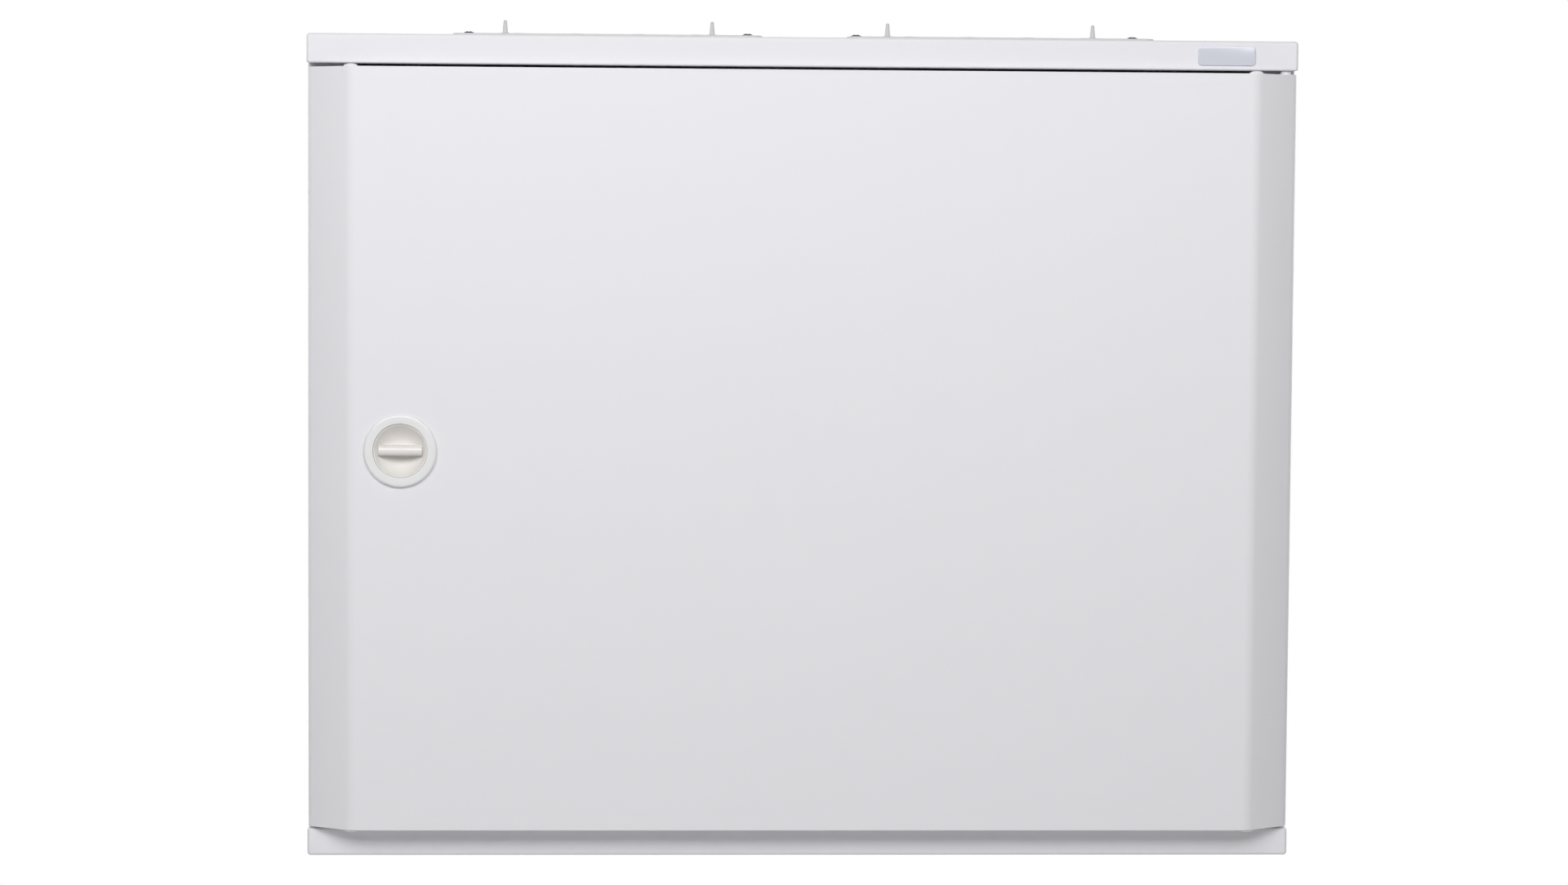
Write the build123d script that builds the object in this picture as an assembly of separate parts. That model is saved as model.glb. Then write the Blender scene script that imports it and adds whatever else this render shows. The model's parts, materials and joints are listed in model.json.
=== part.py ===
from build123d import *
import os
from math import asin, cos, hypot, radians, sin, tan

# Surface-mounted residential load center: a folded sheet-steel box with a hinged, bevelled door.
# Millimetres. The origin is the centre of the back face, on the wall. +X is right, +Z is up and
# the front faces -Y, so a place further forward has a lower Y.

# ---- driving dimensions: box ------------------------------------------------------------------
BOX_WIDTH = 578.0
BOX_HEIGHT = 480.0
BOX_DEPTH = 106.0  # back face to the front of the top and bottom rails
SHEET = 1.2
BEND = 2.0  # outer radius of the folds
FOLD_SHARE = 0.9  # outer radius of a tight fold, in thicknesses of its sheet
TOP_RAIL = 17.0
BOTTOM_RAIL = 16.0
RAIL_RETURN = 13.0
SIDE_FLANGE = 22.0
WALL_HOLE_R = 4.0
WALL_HOLE_PITCH_X = 460.0
WALL_HOLE_PITCH_Z = 380.0
KNOCKOUT_R = 11.3
KNOCKOUT_SLOT = 0.9
KNOCKOUT_BRIDGE = 2.5
KNOCKOUT_COUNT = 6
KNOCKOUT_PITCH = 70.0
REAR_KNOCKOUT_HALF_PITCH = 130.0
REAR_KNOCKOUT_Z = 205.0

# ---- door and its hinge -----------------------------------------------------------------------
DOOR_SIDE_INSET = 0.6
DOOR_GAP_TOP = 2.5
DOOR_GAP_BOTTOM = 1.5
DOOR_PROUD = 16.1  # flat centre in front of the rails
BEVEL_RUN = 26.0
DOOR_RETURN = 10.5  # depth of the returns behind the rail plane
DOOR_EDGE_R = 4.0
DOOR_FOLD_R = 3.0
HINGE_INSET = 6.2  # hinge axis to the side of the door
HINGE_BACK = 5.5  # hinge axis behind the rail plane
SWING_CLEARANCE = 0.6
HINGE_PIN_R = 1.5
HINGE_PIN_HEAD_R = 3.2
HINGE_PIN_HEAD = 2.0
HINGE_PIN_REACH = 9.0  # length inside the door
BUSH_R = 2.5
BUSH_COLLAR_R = 3.0
BUSH_LENGTH = 4.0
BUSH_RUNNING_GAP = 0.15  # collar of a bush to the rail
FIT = 0.1  # radial clearance of pins, bushes and studs in their holes
BUFFER_R = 4.0
BUFFER_GAP = 0.3
BUFFER_Z = 180.0
EARTH_STUD_R = 3.0
EARTH_STUD_LENGTH = 15.0
EARTH_NUT_R = 5.8
EARTH_NUT_HEIGHT = 5.0
DOOR_EARTH_INSET_X = 22.0
DOOR_EARTH_INSET_Z = 32.0
BOX_EARTH_INSET_X = 27.0
BOX_EARTH_Z = -150.0

# ---- latch ------------------------------------------------------------------------------------
BEZEL_R = 21.2
BEZEL_PROUD = 2.5
BEZEL_EDGE_R = 1.3
SLEEVE_R = 18.8
SLEEVE_WALL = 3.1
SLEEVE_DEPTH = 14.4  # behind the front of the door
SLEEVE_FLOOR = 2.0
LATCH_MARGIN = 7.6  # flat of the door between the fold and the bezel
KNOB_SET_BACK = 1.0  # rim of the knob behind the face of the bezel
KNOB_RIM = 0.7
KNOB_GAP = 0.3
DISH_DEPTH = 9.0
GRIP_LENGTH = 25.0
GRIP_WIDTH = 4.4
GRIP_SET_BACK = 0.5  # front of the grip bar behind the face of the bezel
GRIP_DRAFT = 4.0
GRIP_EDGE_R = 1.4
GRIP_ROOT = 1.0  # grip bar carried on below the bottom of the dish
SPINDLE_R = 6.0
NUT_R = 23.0
NUT_HEIGHT = 5.0
CAM_WIDTH = 14.0
CAM_TIP_WIDTH = 10.0
CAM_THICKNESS = 2.4
CAM_CATCH = 7.6  # overlap of the cam and the side flange when locked
CAM_CLEARANCE = 0.8
CAM_SCREW_R = 4.5
CAM_SCREW_HEAD = 2.6
CAM_SCREW_SHANK_R = 2.0
CAM_SCREW_LENGTH = 12.0

# ---- rating badge, bare -----------------------------------------------------------------------
BADGE_WIDTH = 34.0
BADGE_HEIGHT = 11.4
BADGE_THICKNESS = 0.8
BADGE_CORNER_R = 2.5
BADGE_INSET = 42.4  # centre of the badge to the side of the box

# ---- membrane plates on the top ---------------------------------------------------------------
PLATE_LENGTH = 180.0
PLATE_DEPTH = 86.0
PLATE_THICKNESS = 1.0
PLATE_CORNER_R = 6.0
PLATE_X = 114.8
PLATE_Y = -59.0
CUTOUT_LENGTH = 152.0
CUTOUT_DEPTH = 78.0
CUTOUT_CORNER_R = 5.0
SKIRT_WALL = 0.8
SKIRT_DROP = 4.0
SKIRT_GAP = 0.3
REAR_DOME_Y = 25.5
FRONT_DOME_Y = -19.0
REAR_DOMES = ((62.0, 12.0), (38.0, 6.5), (16.0, 6.0))  # offset and radius, both ways from centre
FRONT_DOMES = ((52.0, 9.5), (18.0, 9.5))
REAR_DOME_HEIGHT = 3.5
FRONT_DOME_HEIGHT = 1.2
DOME_STEP_SHARE = 0.42  # height of the lower step
DOME_SHELF_SHARE = 0.86  # radius of the lower step at its top
DOME_MIDDLE_SHARE = 0.8  # radius of the upper step at its foot
DOME_TOP_SHARE = 0.56
SPIKE_BASE_R = 1.65
SPIKE_TIP_R = 0.95
SPIKE_HEIGHT = 8.0  # above its dome
PLATE_SCREW_OFFSET = 82.5
PLATE_SCREW_HEAD_R = 4.4
PLATE_SCREW_HEAD = 3.3
PLATE_SCREW_FLANK_SHARE = 0.35  # height of the head's upright edge
PLATE_SCREW_CROWN_SHARE = (0.6, 0.8)  # place on the crown: share of the radius and of the height
PLATE_SCREW_R = 2.0
PLATE_SCREW_LENGTH = 9.0
RECESS_LENGTH = 4.4
RECESS_WIDTH = 1.0
RECESS_DEPTH = 1.4

# ---- mounting rails ---------------------------------------------------------------------------
CARRIER_BESIDE = 12.0  # middle of a carrier outside the modular devices
CARRIER_LENGTH = 260.0
CARRIER_SHEET = 1.5
CARRIER_WEB = 26.0
CARRIER_FOOT = 12.0
CARRIER_STUD_R = 2.5
CARRIER_STUD_LENGTH = 9.0
CARRIER_STUD_Z = 115.0
CARRIER_NUT_R = 4.6
CARRIER_NUT_HEIGHT = 4.0
DIN_STAND_OFF = 22.5  # wall to the back of the device rail
DIN_OVERHANG = 8.0  # end of a device rail outside the middle of its carrier
DIN_SHEET = 1.0
DIN_DEPTH = 7.5
DIN_BASE = 25.0
DIN_HEIGHT = 35.0
DIN_SCREW_R = 2.4
DIN_SCREW_HEAD_R = 4.4
DIN_SCREW_HEAD = 2.8
DIN_SCREW_LENGTH = 9.0
ROW_PITCH = 150.0

# ---- modular devices --------------------------------------------------------------------------
MODULE = 18.0
MODULES = 24
CASE_SIDE_GAP = 0.15
CASE_HEIGHT = 85.0
SHOULDER = 44.0  # rail front to the shoulder
NOSE = 16.0  # shoulder to the nose face
NOSE_HEIGHT = 45.0
CASE_HOOK = 5.5  # depth of the case behind the rail front
CASE_R = 1.2
HOOK_OVERLAP = 1.8
LIP_GAP = 0.2
TERMINAL_SCREW_R = 3.0
TERMINAL_SCREW_DEPTH = 3.5
TERMINAL_SCREW_Z = 34.0
TERMINAL_WIDTH = 9.0
TERMINAL_HEIGHT = 8.0
TERMINAL_DEPTH = 4.0  # end of the case to the clamp
TERMINAL_SET_BACK = 15.0  # shoulder to the middle of the cable entry
TOGGLE_WIDTH = 8.4
MAIN_TOGGLE_WIDTH = 58.0
RCD_TOGGLE_WIDTH = 24.0
TOGGLE_SIDE_GAP = 0.4
TOGGLE_SET_BACK = 7.0  # pivot behind the nose face
DRUM_R = 9.0
LEVER_R = 17.0
LEVER_WIDTH = 5.0
LEVER_TIP_WIDTH = 3.6
LEVER_TIP_R = 1.4
TOGGLE_ANGLE = 35.0  # lever above the horizontal when it is on
POCKET_GAP = 0.8
PIVOT_R = 1.4
PIVOT_LENGTH = 1.4
BUTTON_WIDTH = 8.0
BUTTON_PROUD = 1.8
BUTTON_LENGTH = 7.0
BUTTON_TRAVEL = 1.2
BUTTON_GAP = 0.3
BUTTON_CORNER_R = 1.5
BUTTON_EDGE = 0.5
RCD_TOGGLE_OFFSET = 16.0
RCD_BUTTON_OFFSET = -20.0
MAIN_SWITCH_MODULES = 4
RCD_MODULES = 4
UPPER_BREAKER_COUNT = 6
LOWER_BREAKER_COUNT = 4

# ---- cover plate ------------------------------------------------------------------------------
COVER_SHEET = 1.2
COVER_STAND_OFF = 4.8  # device shoulder to the back of the cover
COVER_GAP_X = 2.0
COVER_GAP_Z = 5.0
COVER_RETURN = 12.0
SLOT_HEIGHT = 46.0
SLOT_MARGIN = 1.0
BRACKET_REACH = 43.0
BRACKET_HEIGHT = 24.0
BRACKET_LEG = 18.0
BRACKET_SHEET = 1.5
FASTENER_INSET_X = 10.0
FASTENER_INSET_Z = 31.0
FASTENER_HEAD_R = 6.0
FASTENER_HEAD = 2.4
FASTENER_SHANK_R = 2.9
FASTENER_WING = 13.0
FASTENER_WING_WIDTH = 4.0
FASTENER_SLOT = 1.2
STRIP_LIP = 1.2  # overlap of a blanking strip on the cover, above and below its slot
STRIP_FACE = 1.5
STRIP_WALL = 1.2
STRIP_DEPTH = 4.5
STRIP_BARB = 0.5
STRIP_GAP = 0.3
STRIP_GROOVE = 0.5

# ---- terminal bars and comb -------------------------------------------------------------------
BAR_COUNT = 10
BAR_PITCH = 14.0
BAR_WIDTH = 8.0
BAR_HEIGHT = 9.0
BAR_HOLE_R = 2.6
BAR_SCREW_R = 2.5
BAR_SCREW_HEIGHT = 3.0
BAR_SCREW_SLOT = 0.8
BAR_STAND_OFF = 34.0
BAR_INSET_Z = 42.0  # middle of a bar to the top or bottom of the box
HOLDER_WIDTH = 12.0
HOLDER_FOOT = 20.0
HOLDER_FOOT_HEIGHT = 4.0
HOLDER_JAW = 2.0
HOLDER_JAW_DEPTH = 5.0
COMB_THICKNESS = 1.5
COMB_HEIGHT = 9.0
COMB_PIN_WIDTH = 4.0
COMB_PIN_GAP = 0.2  # pin to the clamp
COMB_DROP = 3.0  # case to the insulation
COMB_WALL = 1.4
COMB_GAP = 0.1
COMB_END_GAP = 1.0  # end of the comb to the side of its last device
OVERCUT = 1.0  # length of a cutter outside what it cuts

# ---- places worked out from the sizes ---------------------------------------------------------
BOX_HALF = BOX_WIDTH / 2
TOP = BOX_HEIGHT / 2
FRONT = -BOX_DEPTH
INNER_HALF = BOX_HALF - SHEET
OPENING_TOP = TOP - TOP_RAIL
OPENING_BOTTOM = BOTTOM_RAIL - TOP

DOOR_HALF = BOX_HALF - DOOR_SIDE_INSET
DOOR_TOP = OPENING_TOP - DOOR_GAP_TOP
DOOR_BOTTOM = OPENING_BOTTOM + DOOR_GAP_BOTTOM
DOOR_FRONT = FRONT - DOOR_PROUD
DOOR_BACK = FRONT + DOOR_RETURN
DOOR_INSIDE = DOOR_FRONT + SHEET

HINGE_X = DOOR_HALF - HINGE_INSET
HINGE_Y = FRONT + HINGE_BACK
SWING_R = max(hypot(HINGE_INSET, HINGE_BACK), hypot(HINGE_INSET, DOOR_RETURN - HINGE_BACK))
FLANGE_FRONT = HINGE_Y + SWING_R + SWING_CLEARANCE
FLANGE_BACK = FLANGE_FRONT + SHEET
FLANGE_EDGE = BOX_HALF - SIDE_FLANGE

LATCH_X = BEVEL_RUN + LATCH_MARGIN + BEZEL_R - DOOR_HALF
LATCH_Z = (DOOR_TOP + DOOR_BOTTOM) / 2
BEZEL_FRONT = DOOR_FRONT - BEZEL_PROUD
SLEEVE_BACK = DOOR_FRONT + SLEEVE_DEPTH
KNOB_BACK = SLEEVE_BACK - SLEEVE_FLOOR - KNOB_GAP
KNOB_R = SLEEVE_R - SLEEVE_WALL - KNOB_GAP
KNOB_FRONT = BEZEL_FRONT + KNOB_SET_BACK
KNOB_INSIDE = KNOB_FRONT + DISH_DEPTH
CAM_FRONT = FLANGE_BACK + CAM_CLEARANCE
CAM_BACK = CAM_FRONT + CAM_THICKNESS
CAM_REACH = FLANGE_EDGE + LATCH_X + CAM_CATCH

DIN_BACK = -DIN_STAND_OFF
DIN_FRONT = DIN_BACK - DIN_DEPTH
SHOULDER_Y = DIN_FRONT - SHOULDER
NOSE_Y = SHOULDER_Y - NOSE
PIVOT_Y = NOSE_Y + TOGGLE_SET_BACK
POCKET_BACK = PIVOT_Y + DRUM_R + POCKET_GAP
COVER_BACK = SHOULDER_Y - COVER_STAND_OFF
COVER_FRONT = COVER_BACK - COVER_SHEET
COVER_HALF = FLANGE_EDGE - COVER_GAP_X
COVER_TOP = OPENING_TOP - COVER_GAP_Z
COVER_BOTTOM = OPENING_BOTTOM + COVER_GAP_Z
FASTENER_X = COVER_HALF - FASTENER_INSET_X
FASTENERS = [
    (side * FASTENER_X, level)
    for side in (-1, 1)
    for level in (COVER_TOP - FASTENER_INSET_Z, COVER_BOTTOM + FASTENER_INSET_Z)
]

ROW_START = -MODULES * MODULE / 2
SLOT_HALF = MODULES * MODULE / 2 + SLOT_MARGIN
UPPER_ROW = ROW_PITCH / 2
LOWER_ROW = -ROW_PITCH / 2
RCD_START = MAIN_SWITCH_MODULES
BREAKER_START = RCD_START + RCD_MODULES
UPPER_USED = BREAKER_START + UPPER_BREAKER_COUNT

CARRIER_X = MODULES * MODULE / 2 + CARRIER_BESIDE
DIN_LENGTH = 2 * (CARRIER_X + DIN_OVERHANG)
CARRIER_STUDS = [
    (side * CARRIER_X + end * (CARRIER_WEB + CARRIER_FOOT) / 2, end * CARRIER_STUD_Z)
    for side in (-1, 1)
    for end in (-1, 1)
]
WALL_HOLES = [
    (i * WALL_HOLE_PITCH_X / 2, k * WALL_HOLE_PITCH_Z / 2) for i in (-1, 1) for k in (-1, 1)
]
NEUTRAL_Z = TOP - BAR_INSET_Z
EARTH_Z = BAR_INSET_Z - TOP
BAR_LENGTH = BAR_COUNT * BAR_PITCH + 2 * HOLDER_WIDTH


# ---- plain shapes -----------------------------------------------------------------------------
def block(x, y, z):
    """Box between pairs of limits."""
    size = [high - low for low, high in (x, y, z)]
    middle = [(high + low) / 2 for low, high in (x, y, z)]
    return Pos(*middle) * Box(*size)


def rod(x, z, radius, y):
    """Cylinder along Y between two depths."""
    return Pos(x, (y[0] + y[1]) / 2, z) * Rot(90, 0, 0) * Cylinder(radius, abs(y[1] - y[0]))


def post(x, y, radius, z):
    """Cylinder along Z between two levels."""
    return Pos(x, y, (z[0] + z[1]) / 2) * Cylinder(radius, abs(z[1] - z[0]))


def axle(y, z, radius, x):
    """Cylinder along X between two places."""
    return Pos((x[0] + x[1]) / 2, y, z) * Rot(0, 90, 0) * Cylinder(radius, abs(x[1] - x[0]))


def spun(outline, x=0.0, y=0.0):
    """Solid of revolution about an upright axis, from its (radius, z) outline."""
    return Pos(x, y, 0) * revolve(Plane.XZ * outline, Axis.Z)


def hexagon(x, z, radius, y):
    """Nut or screw head across the points, between two depths."""
    outline = Pos(x, z) * RegularPolygon(radius, 6)
    return extrude(Plane.XZ.offset(-y[1]) * outline, y[1] - y[0])


def beam(profile, x, y, z):
    """Profile drawn in (y, z) about one point, drawn out between two places along X."""
    start = Plane(origin=(x[0], y, z), x_dir=(0, 1, 0), z_dir=(1, 0, 0))
    return extrude(start * profile, x[1] - x[0], dir=(1, 0, 0))


# ---- box --------------------------------------------------------------------------------------
def hull(inset, radius):
    """Closed rounded block, smaller than the box by one inset all round."""
    half, top = BOX_HALF - inset, TOP - inset
    solid = block((-half, half), (FRONT + inset, -inset), (-top, top))
    return fillet(solid.edges(), radius)


def folded_shell():
    """Back, four walls and the faces of the two rails, with the door opening cut away."""
    shell = hull(0, BEND) - hull(SHEET, BEND - SHEET)
    opening = block(
        (-BOX_HALF, BOX_HALF), (FRONT, FLANGE_FRONT), (OPENING_BOTTOM, OPENING_TOP)
    )
    return shell - opening


def side_flange(side):
    """Inward fold of a side wall, which the door closes over."""
    edge, fold = side * FLANGE_EDGE, side * BOX_HALF
    flange = block(
        (min(edge, fold), max(edge, fold)),
        (FLANGE_FRONT, FLANGE_BACK),
        (OPENING_BOTTOM, OPENING_TOP),
    )
    outer = flange.edges().filter_by(Axis.Z).group_by(SortBy.DISTANCE)[-1]
    outer = outer.sort_by(Axis.Y)[:1]
    return fillet(outer, SHEET * FOLD_SHARE)


def rail_return(level, inward):
    """Fold behind a rail, which carries the hinge pin."""
    back = FRONT + RAIL_RETURN
    low, high = sorted((level, level + inward * SHEET))
    plate = block((-INNER_HALF, INNER_HALF), (FRONT + SHEET / 2, back), (low, high))
    lip_low, lip_high = sorted((level, level + inward * (BEND + 3 * SHEET)))
    lip = block((-INNER_HALF, INNER_HALF), (back - SHEET, back), (lip_low, lip_high))
    return plate + lip


def knockout(radius):
    """Ring slot of a pre-cut disc that two bridges still hold, lying in the XY plane."""
    ring = Circle(radius) - Circle(radius - KNOCKOUT_SLOT)
    return ring - Rectangle(3 * radius, KNOCKOUT_BRIDGE)


def cover_bracket(x, z):
    """Welded angle on a side wall that the cover plate rests on."""
    side = 1 if x > 0 else -1
    low, high = sorted((side * (BOX_HALF - BRACKET_REACH), side * (INNER_HALF)))
    span = (z - BRACKET_HEIGHT / 2, z + BRACKET_HEIGHT / 2)
    web = block((low, high), (COVER_BACK, COVER_BACK + BRACKET_SHEET), span)
    leg_low, leg_high = sorted((side * (INNER_HALF - BRACKET_SHEET), side * INNER_HALF))
    leg = block((leg_low, leg_high), (COVER_BACK, COVER_BACK + BRACKET_LEG), span)
    depth = (COVER_BACK - BRACKET_SHEET, COVER_BACK + 2 * BRACKET_SHEET)
    hole = rod(x, z, FASTENER_SHANK_R + FIT, depth)
    return web + leg - hole


def make_box():
    box = folded_shell()
    for side in (-1, 1):
        box += side_flange(side)
    box += rail_return(OPENING_TOP, 1) + rail_return(OPENING_BOTTOM, -1)
    front_folds = box.edges().filter_by(Axis.X).group_by(Axis.Y)[0]
    low, high = OPENING_BOTTOM - SHEET / 2, OPENING_TOP + SHEET / 2
    inner = [e for e in front_folds if low < e.center().Z < high]
    box = fillet(inner, SHEET * FOLD_SHARE)
    for x, z in FASTENERS:
        box += cover_bracket(x, z)
    for x, z in CARRIER_STUDS:
        box += rod(x, z, CARRIER_STUD_R, (-SHEET - CARRIER_STUD_LENGTH, -SHEET))
    for x, z in WALL_HOLES:
        box -= rod(x, z, WALL_HOLE_R, (-2 * SHEET, SHEET))
    pin_hole_z = (OPENING_TOP - SHEET, OPENING_TOP + 2 * SHEET)
    box -= post(HINGE_X, HINGE_Y, HINGE_PIN_R + FIT, pin_hole_z)
    pin_hole_z = (OPENING_BOTTOM - 2 * SHEET, OPENING_BOTTOM + SHEET)
    box -= post(HINGE_X, HINGE_Y, HINGE_PIN_R + FIT, pin_hole_z)
    cutout = RectangleRounded(CUTOUT_LENGTH, CUTOUT_DEPTH, CUTOUT_CORNER_R)
    for side in (-1, 1):
        box -= extrude(Pos(side * PLATE_X, PLATE_Y, TOP - 2 * SHEET) * cutout, 3 * SHEET)
        for end in (-1, 1):
            place = side * PLATE_X + end * PLATE_SCREW_OFFSET
            box -= post(place, PLATE_Y, PLATE_SCREW_R + FIT, (TOP - 2 * SHEET, TOP + SHEET))
    for i in range(KNOCKOUT_COUNT):
        place = (i - (KNOCKOUT_COUNT - 1) / 2) * KNOCKOUT_PITCH
        slot = Pos(place, FRONT / 2, -TOP - SHEET) * knockout(KNOCKOUT_R)
        box -= extrude(slot, 3 * SHEET)
    for side in (-1, 1):
        slot = Pos(side * REAR_KNOCKOUT_HALF_PITCH, REAR_KNOCKOUT_Z) * knockout(KNOCKOUT_R)
        box -= extrude(Plane.XZ.offset(-SHEET) * slot, 3 * SHEET)
    return box


def stepped_dome(radius, height):
    """Dome of two steps, to be cut to the size of a cable, standing on the XY plane."""
    step = height * DOME_STEP_SHARE
    lower = Cone(radius, radius * DOME_SHELF_SHARE, step)
    upper = Cone(radius * DOME_MIDDLE_SHARE, radius * DOME_TOP_SHARE, height - step)
    return Pos(0, 0, step / 2) * lower + Pos(0, 0, (height + step) / 2) * upper


def make_membrane_plate(side):
    """Soft cable-entry plate: a thin rim over a cut-out, with domes to be pierced by cables."""
    rim = extrude(RectangleRounded(PLATE_LENGTH, PLATE_DEPTH, PLATE_CORNER_R), PLATE_THICKNESS)
    length, depth = CUTOUT_LENGTH - 2 * SKIRT_GAP, CUTOUT_DEPTH - 2 * SKIRT_GAP
    outer = RectangleRounded(length, depth, CUTOUT_CORNER_R - SKIRT_GAP)
    inner = RectangleRounded(
        length - 2 * SKIRT_WALL, depth - 2 * SKIRT_WALL, CUTOUT_CORNER_R - SKIRT_GAP - SKIRT_WALL
    )
    plate = rim + extrude(outer - inner, -SKIRT_DROP)
    rows = (
        (REAR_DOME_Y, REAR_DOME_HEIGHT, REAR_DOMES),
        (FRONT_DOME_Y, FRONT_DOME_HEIGHT, FRONT_DOMES),
    )
    for row_y, height, domes in rows:
        for offset, radius in domes:
            for end in (-1, 1):
                place = Pos(end * offset, row_y, PLATE_THICKNESS)
                plate += place * stepped_dome(radius, height)
    spike_x = REAR_DOMES[0][0]
    for end in (-1, 1):
        spike = Cone(SPIKE_BASE_R, SPIKE_TIP_R, SPIKE_HEIGHT)
        level = PLATE_THICKNESS + REAR_DOME_HEIGHT + SPIKE_HEIGHT / 2
        plate += Pos(end * spike_x, REAR_DOME_Y, level) * spike
        hole = Cylinder(PLATE_SCREW_R + FIT, 3 * PLATE_THICKNESS)
        plate -= Pos(end * PLATE_SCREW_OFFSET, 0, PLATE_THICKNESS / 2) * hole
    return Pos(side * PLATE_X, PLATE_Y, TOP) * plate


def make_plate_screw(x):
    """Pan-head screw with a cross recess, down into the top wall."""
    seat = TOP + PLATE_THICKNESS
    crown = seat + PLATE_SCREW_HEAD
    flank = (PLATE_SCREW_HEAD_R, seat + PLATE_SCREW_HEAD * PLATE_SCREW_FLANK_SHARE)
    across, up = PLATE_SCREW_CROWN_SHARE
    bulge = (PLATE_SCREW_HEAD_R * across, seat + PLATE_SCREW_HEAD * up)
    outline = make_face(
        [
            Line((0, seat - PLATE_SCREW_LENGTH), (PLATE_SCREW_R, seat - PLATE_SCREW_LENGTH)),
            Line((PLATE_SCREW_R, seat - PLATE_SCREW_LENGTH), (PLATE_SCREW_R, seat)),
            Line((PLATE_SCREW_R, seat), (PLATE_SCREW_HEAD_R, seat)),
            Line((PLATE_SCREW_HEAD_R, seat), flank),
            ThreePointArc(flank, bulge, (0, crown)),
            Line((0, crown), (0, seat - PLATE_SCREW_LENGTH)),
        ]
    )
    screw = spun(outline, x, PLATE_Y)
    for length, width in ((RECESS_LENGTH, RECESS_WIDTH), (RECESS_WIDTH, RECESS_LENGTH)):
        screw -= Pos(x, PLATE_Y, crown) * Box(length, width, 2 * RECESS_DEPTH)
    return screw


def make_plate_screws():
    return [
        make_plate_screw(side * PLATE_X + end * PLATE_SCREW_OFFSET)
        for side in (-1, 1)
        for end in (-1, 1)
    ]


def make_badge():
    """Bare rounded plate on the top rail."""
    outline = RectangleRounded(BADGE_WIDTH, BADGE_HEIGHT, BADGE_CORNER_R)
    place = Pos(BOX_HALF - BADGE_INSET, TOP - TOP_RAIL / 2 - SHEET / 4) * outline
    plate = extrude(Plane.XZ.offset(-FRONT) * place, BADGE_THICKNESS)
    return chamfer(plate.faces().sort_by(Axis.Y)[0].edges(), BADGE_THICKNESS / 2)


def make_earth_stud(x, z, base, outward):
    """Earth stud with its nut, standing on a sheet at one depth."""
    tip = base + outward * EARTH_STUD_LENGTH
    nut = sorted((base, base + outward * EARTH_NUT_HEIGHT))
    return rod(x, z, EARTH_STUD_R, sorted((base, tip))) + hexagon(x, z, EARTH_NUT_R, nut)


def make_buffers():
    """Two soft stops on the left flange, just behind the closed door."""
    face = DOOR_BACK + BUFFER_GAP
    place = BUFFER_R + SHEET / 2 - BOX_HALF
    return [rod(place, z, BUFFER_R, (face, FLANGE_FRONT)) for z in (-BUFFER_Z, BUFFER_Z)]


# ---- mounting rails ---------------------------------------------------------------------------
def make_carrier(side):
    """Upright hat-section strip on the back wall that holds both device rails."""
    web, foot, back, front = CARRIER_WEB / 2, CARRIER_FOOT, -SHEET, DIN_BACK
    outline = Polygon(
        (-web - foot, back),
        (-web - foot, back - CARRIER_SHEET),
        (-web, back - CARRIER_SHEET),
        (-web, front),
        (web, front),
        (web, back - CARRIER_SHEET),
        (web + foot, back - CARRIER_SHEET),
        (web + foot, back),
        (web - CARRIER_SHEET, back),
        (web - CARRIER_SHEET, front + CARRIER_SHEET),
        (CARRIER_SHEET - web, front + CARRIER_SHEET),
        (CARRIER_SHEET - web, back),
        align=None,
    )
    strip = extrude(Pos(side * CARRIER_X, 0, -CARRIER_LENGTH / 2) * outline, CARRIER_LENGTH)
    for x, z in CARRIER_STUDS:
        strip -= rod(x, z, CARRIER_STUD_R + FIT, (back - 2 * CARRIER_SHEET, 0))
    for row in (UPPER_ROW, LOWER_ROW):
        depth = (front - CARRIER_SHEET, front + 2 * CARRIER_SHEET)
        strip -= rod(side * CARRIER_X, row, DIN_SCREW_R + FIT, depth)
    return strip


def make_din_rail(row):
    """Plain top-hat rail, screwed to both carriers."""
    base, lip, wall = DIN_BASE / 2, DIN_HEIGHT / 2, DIN_SHEET
    profile = Polygon(
        (DIN_BACK, -base),
        (DIN_BACK, base),
        (DIN_FRONT + wall, base),
        (DIN_FRONT + wall, lip),
        (DIN_FRONT, lip),
        (DIN_FRONT, base - wall),
        (DIN_BACK - wall, base - wall),
        (DIN_BACK - wall, wall - base),
        (DIN_FRONT, wall - base),
        (DIN_FRONT, -lip),
        (DIN_FRONT + wall, -lip),
        (DIN_FRONT + wall, -base),
        align=None,
    )
    rail = beam(profile, (-DIN_LENGTH / 2, DIN_LENGTH / 2), 0, row)
    for side in (-1, 1):
        rail -= rod(side * CARRIER_X, row, DIN_SCREW_R + FIT, (DIN_FRONT, DIN_BACK + DIN_SHEET))
    return rail


def make_carrier_screws():
    """Nuts on the studs of the box, and the screws of the device rails."""
    foot = -SHEET - CARRIER_SHEET
    screws = []
    for x, z in CARRIER_STUDS:
        nut = hexagon(x, z, CARRIER_NUT_R, (foot - CARRIER_NUT_HEIGHT, foot))
        screws.append(nut - rod(x, z, CARRIER_STUD_R + FIT, (foot - CARRIER_NUT_HEIGHT, foot)))
    seat = DIN_BACK - DIN_SHEET
    for side in (-1, 1):
        for row in (UPPER_ROW, LOWER_ROW):
            head = rod(side * CARRIER_X, row, DIN_SCREW_HEAD_R, (seat - DIN_SCREW_HEAD, seat))
            shank = rod(side * CARRIER_X, row, DIN_SCREW_R, (seat, seat + DIN_SCREW_LENGTH))
            screws.append(head + shank)
    return screws


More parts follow.
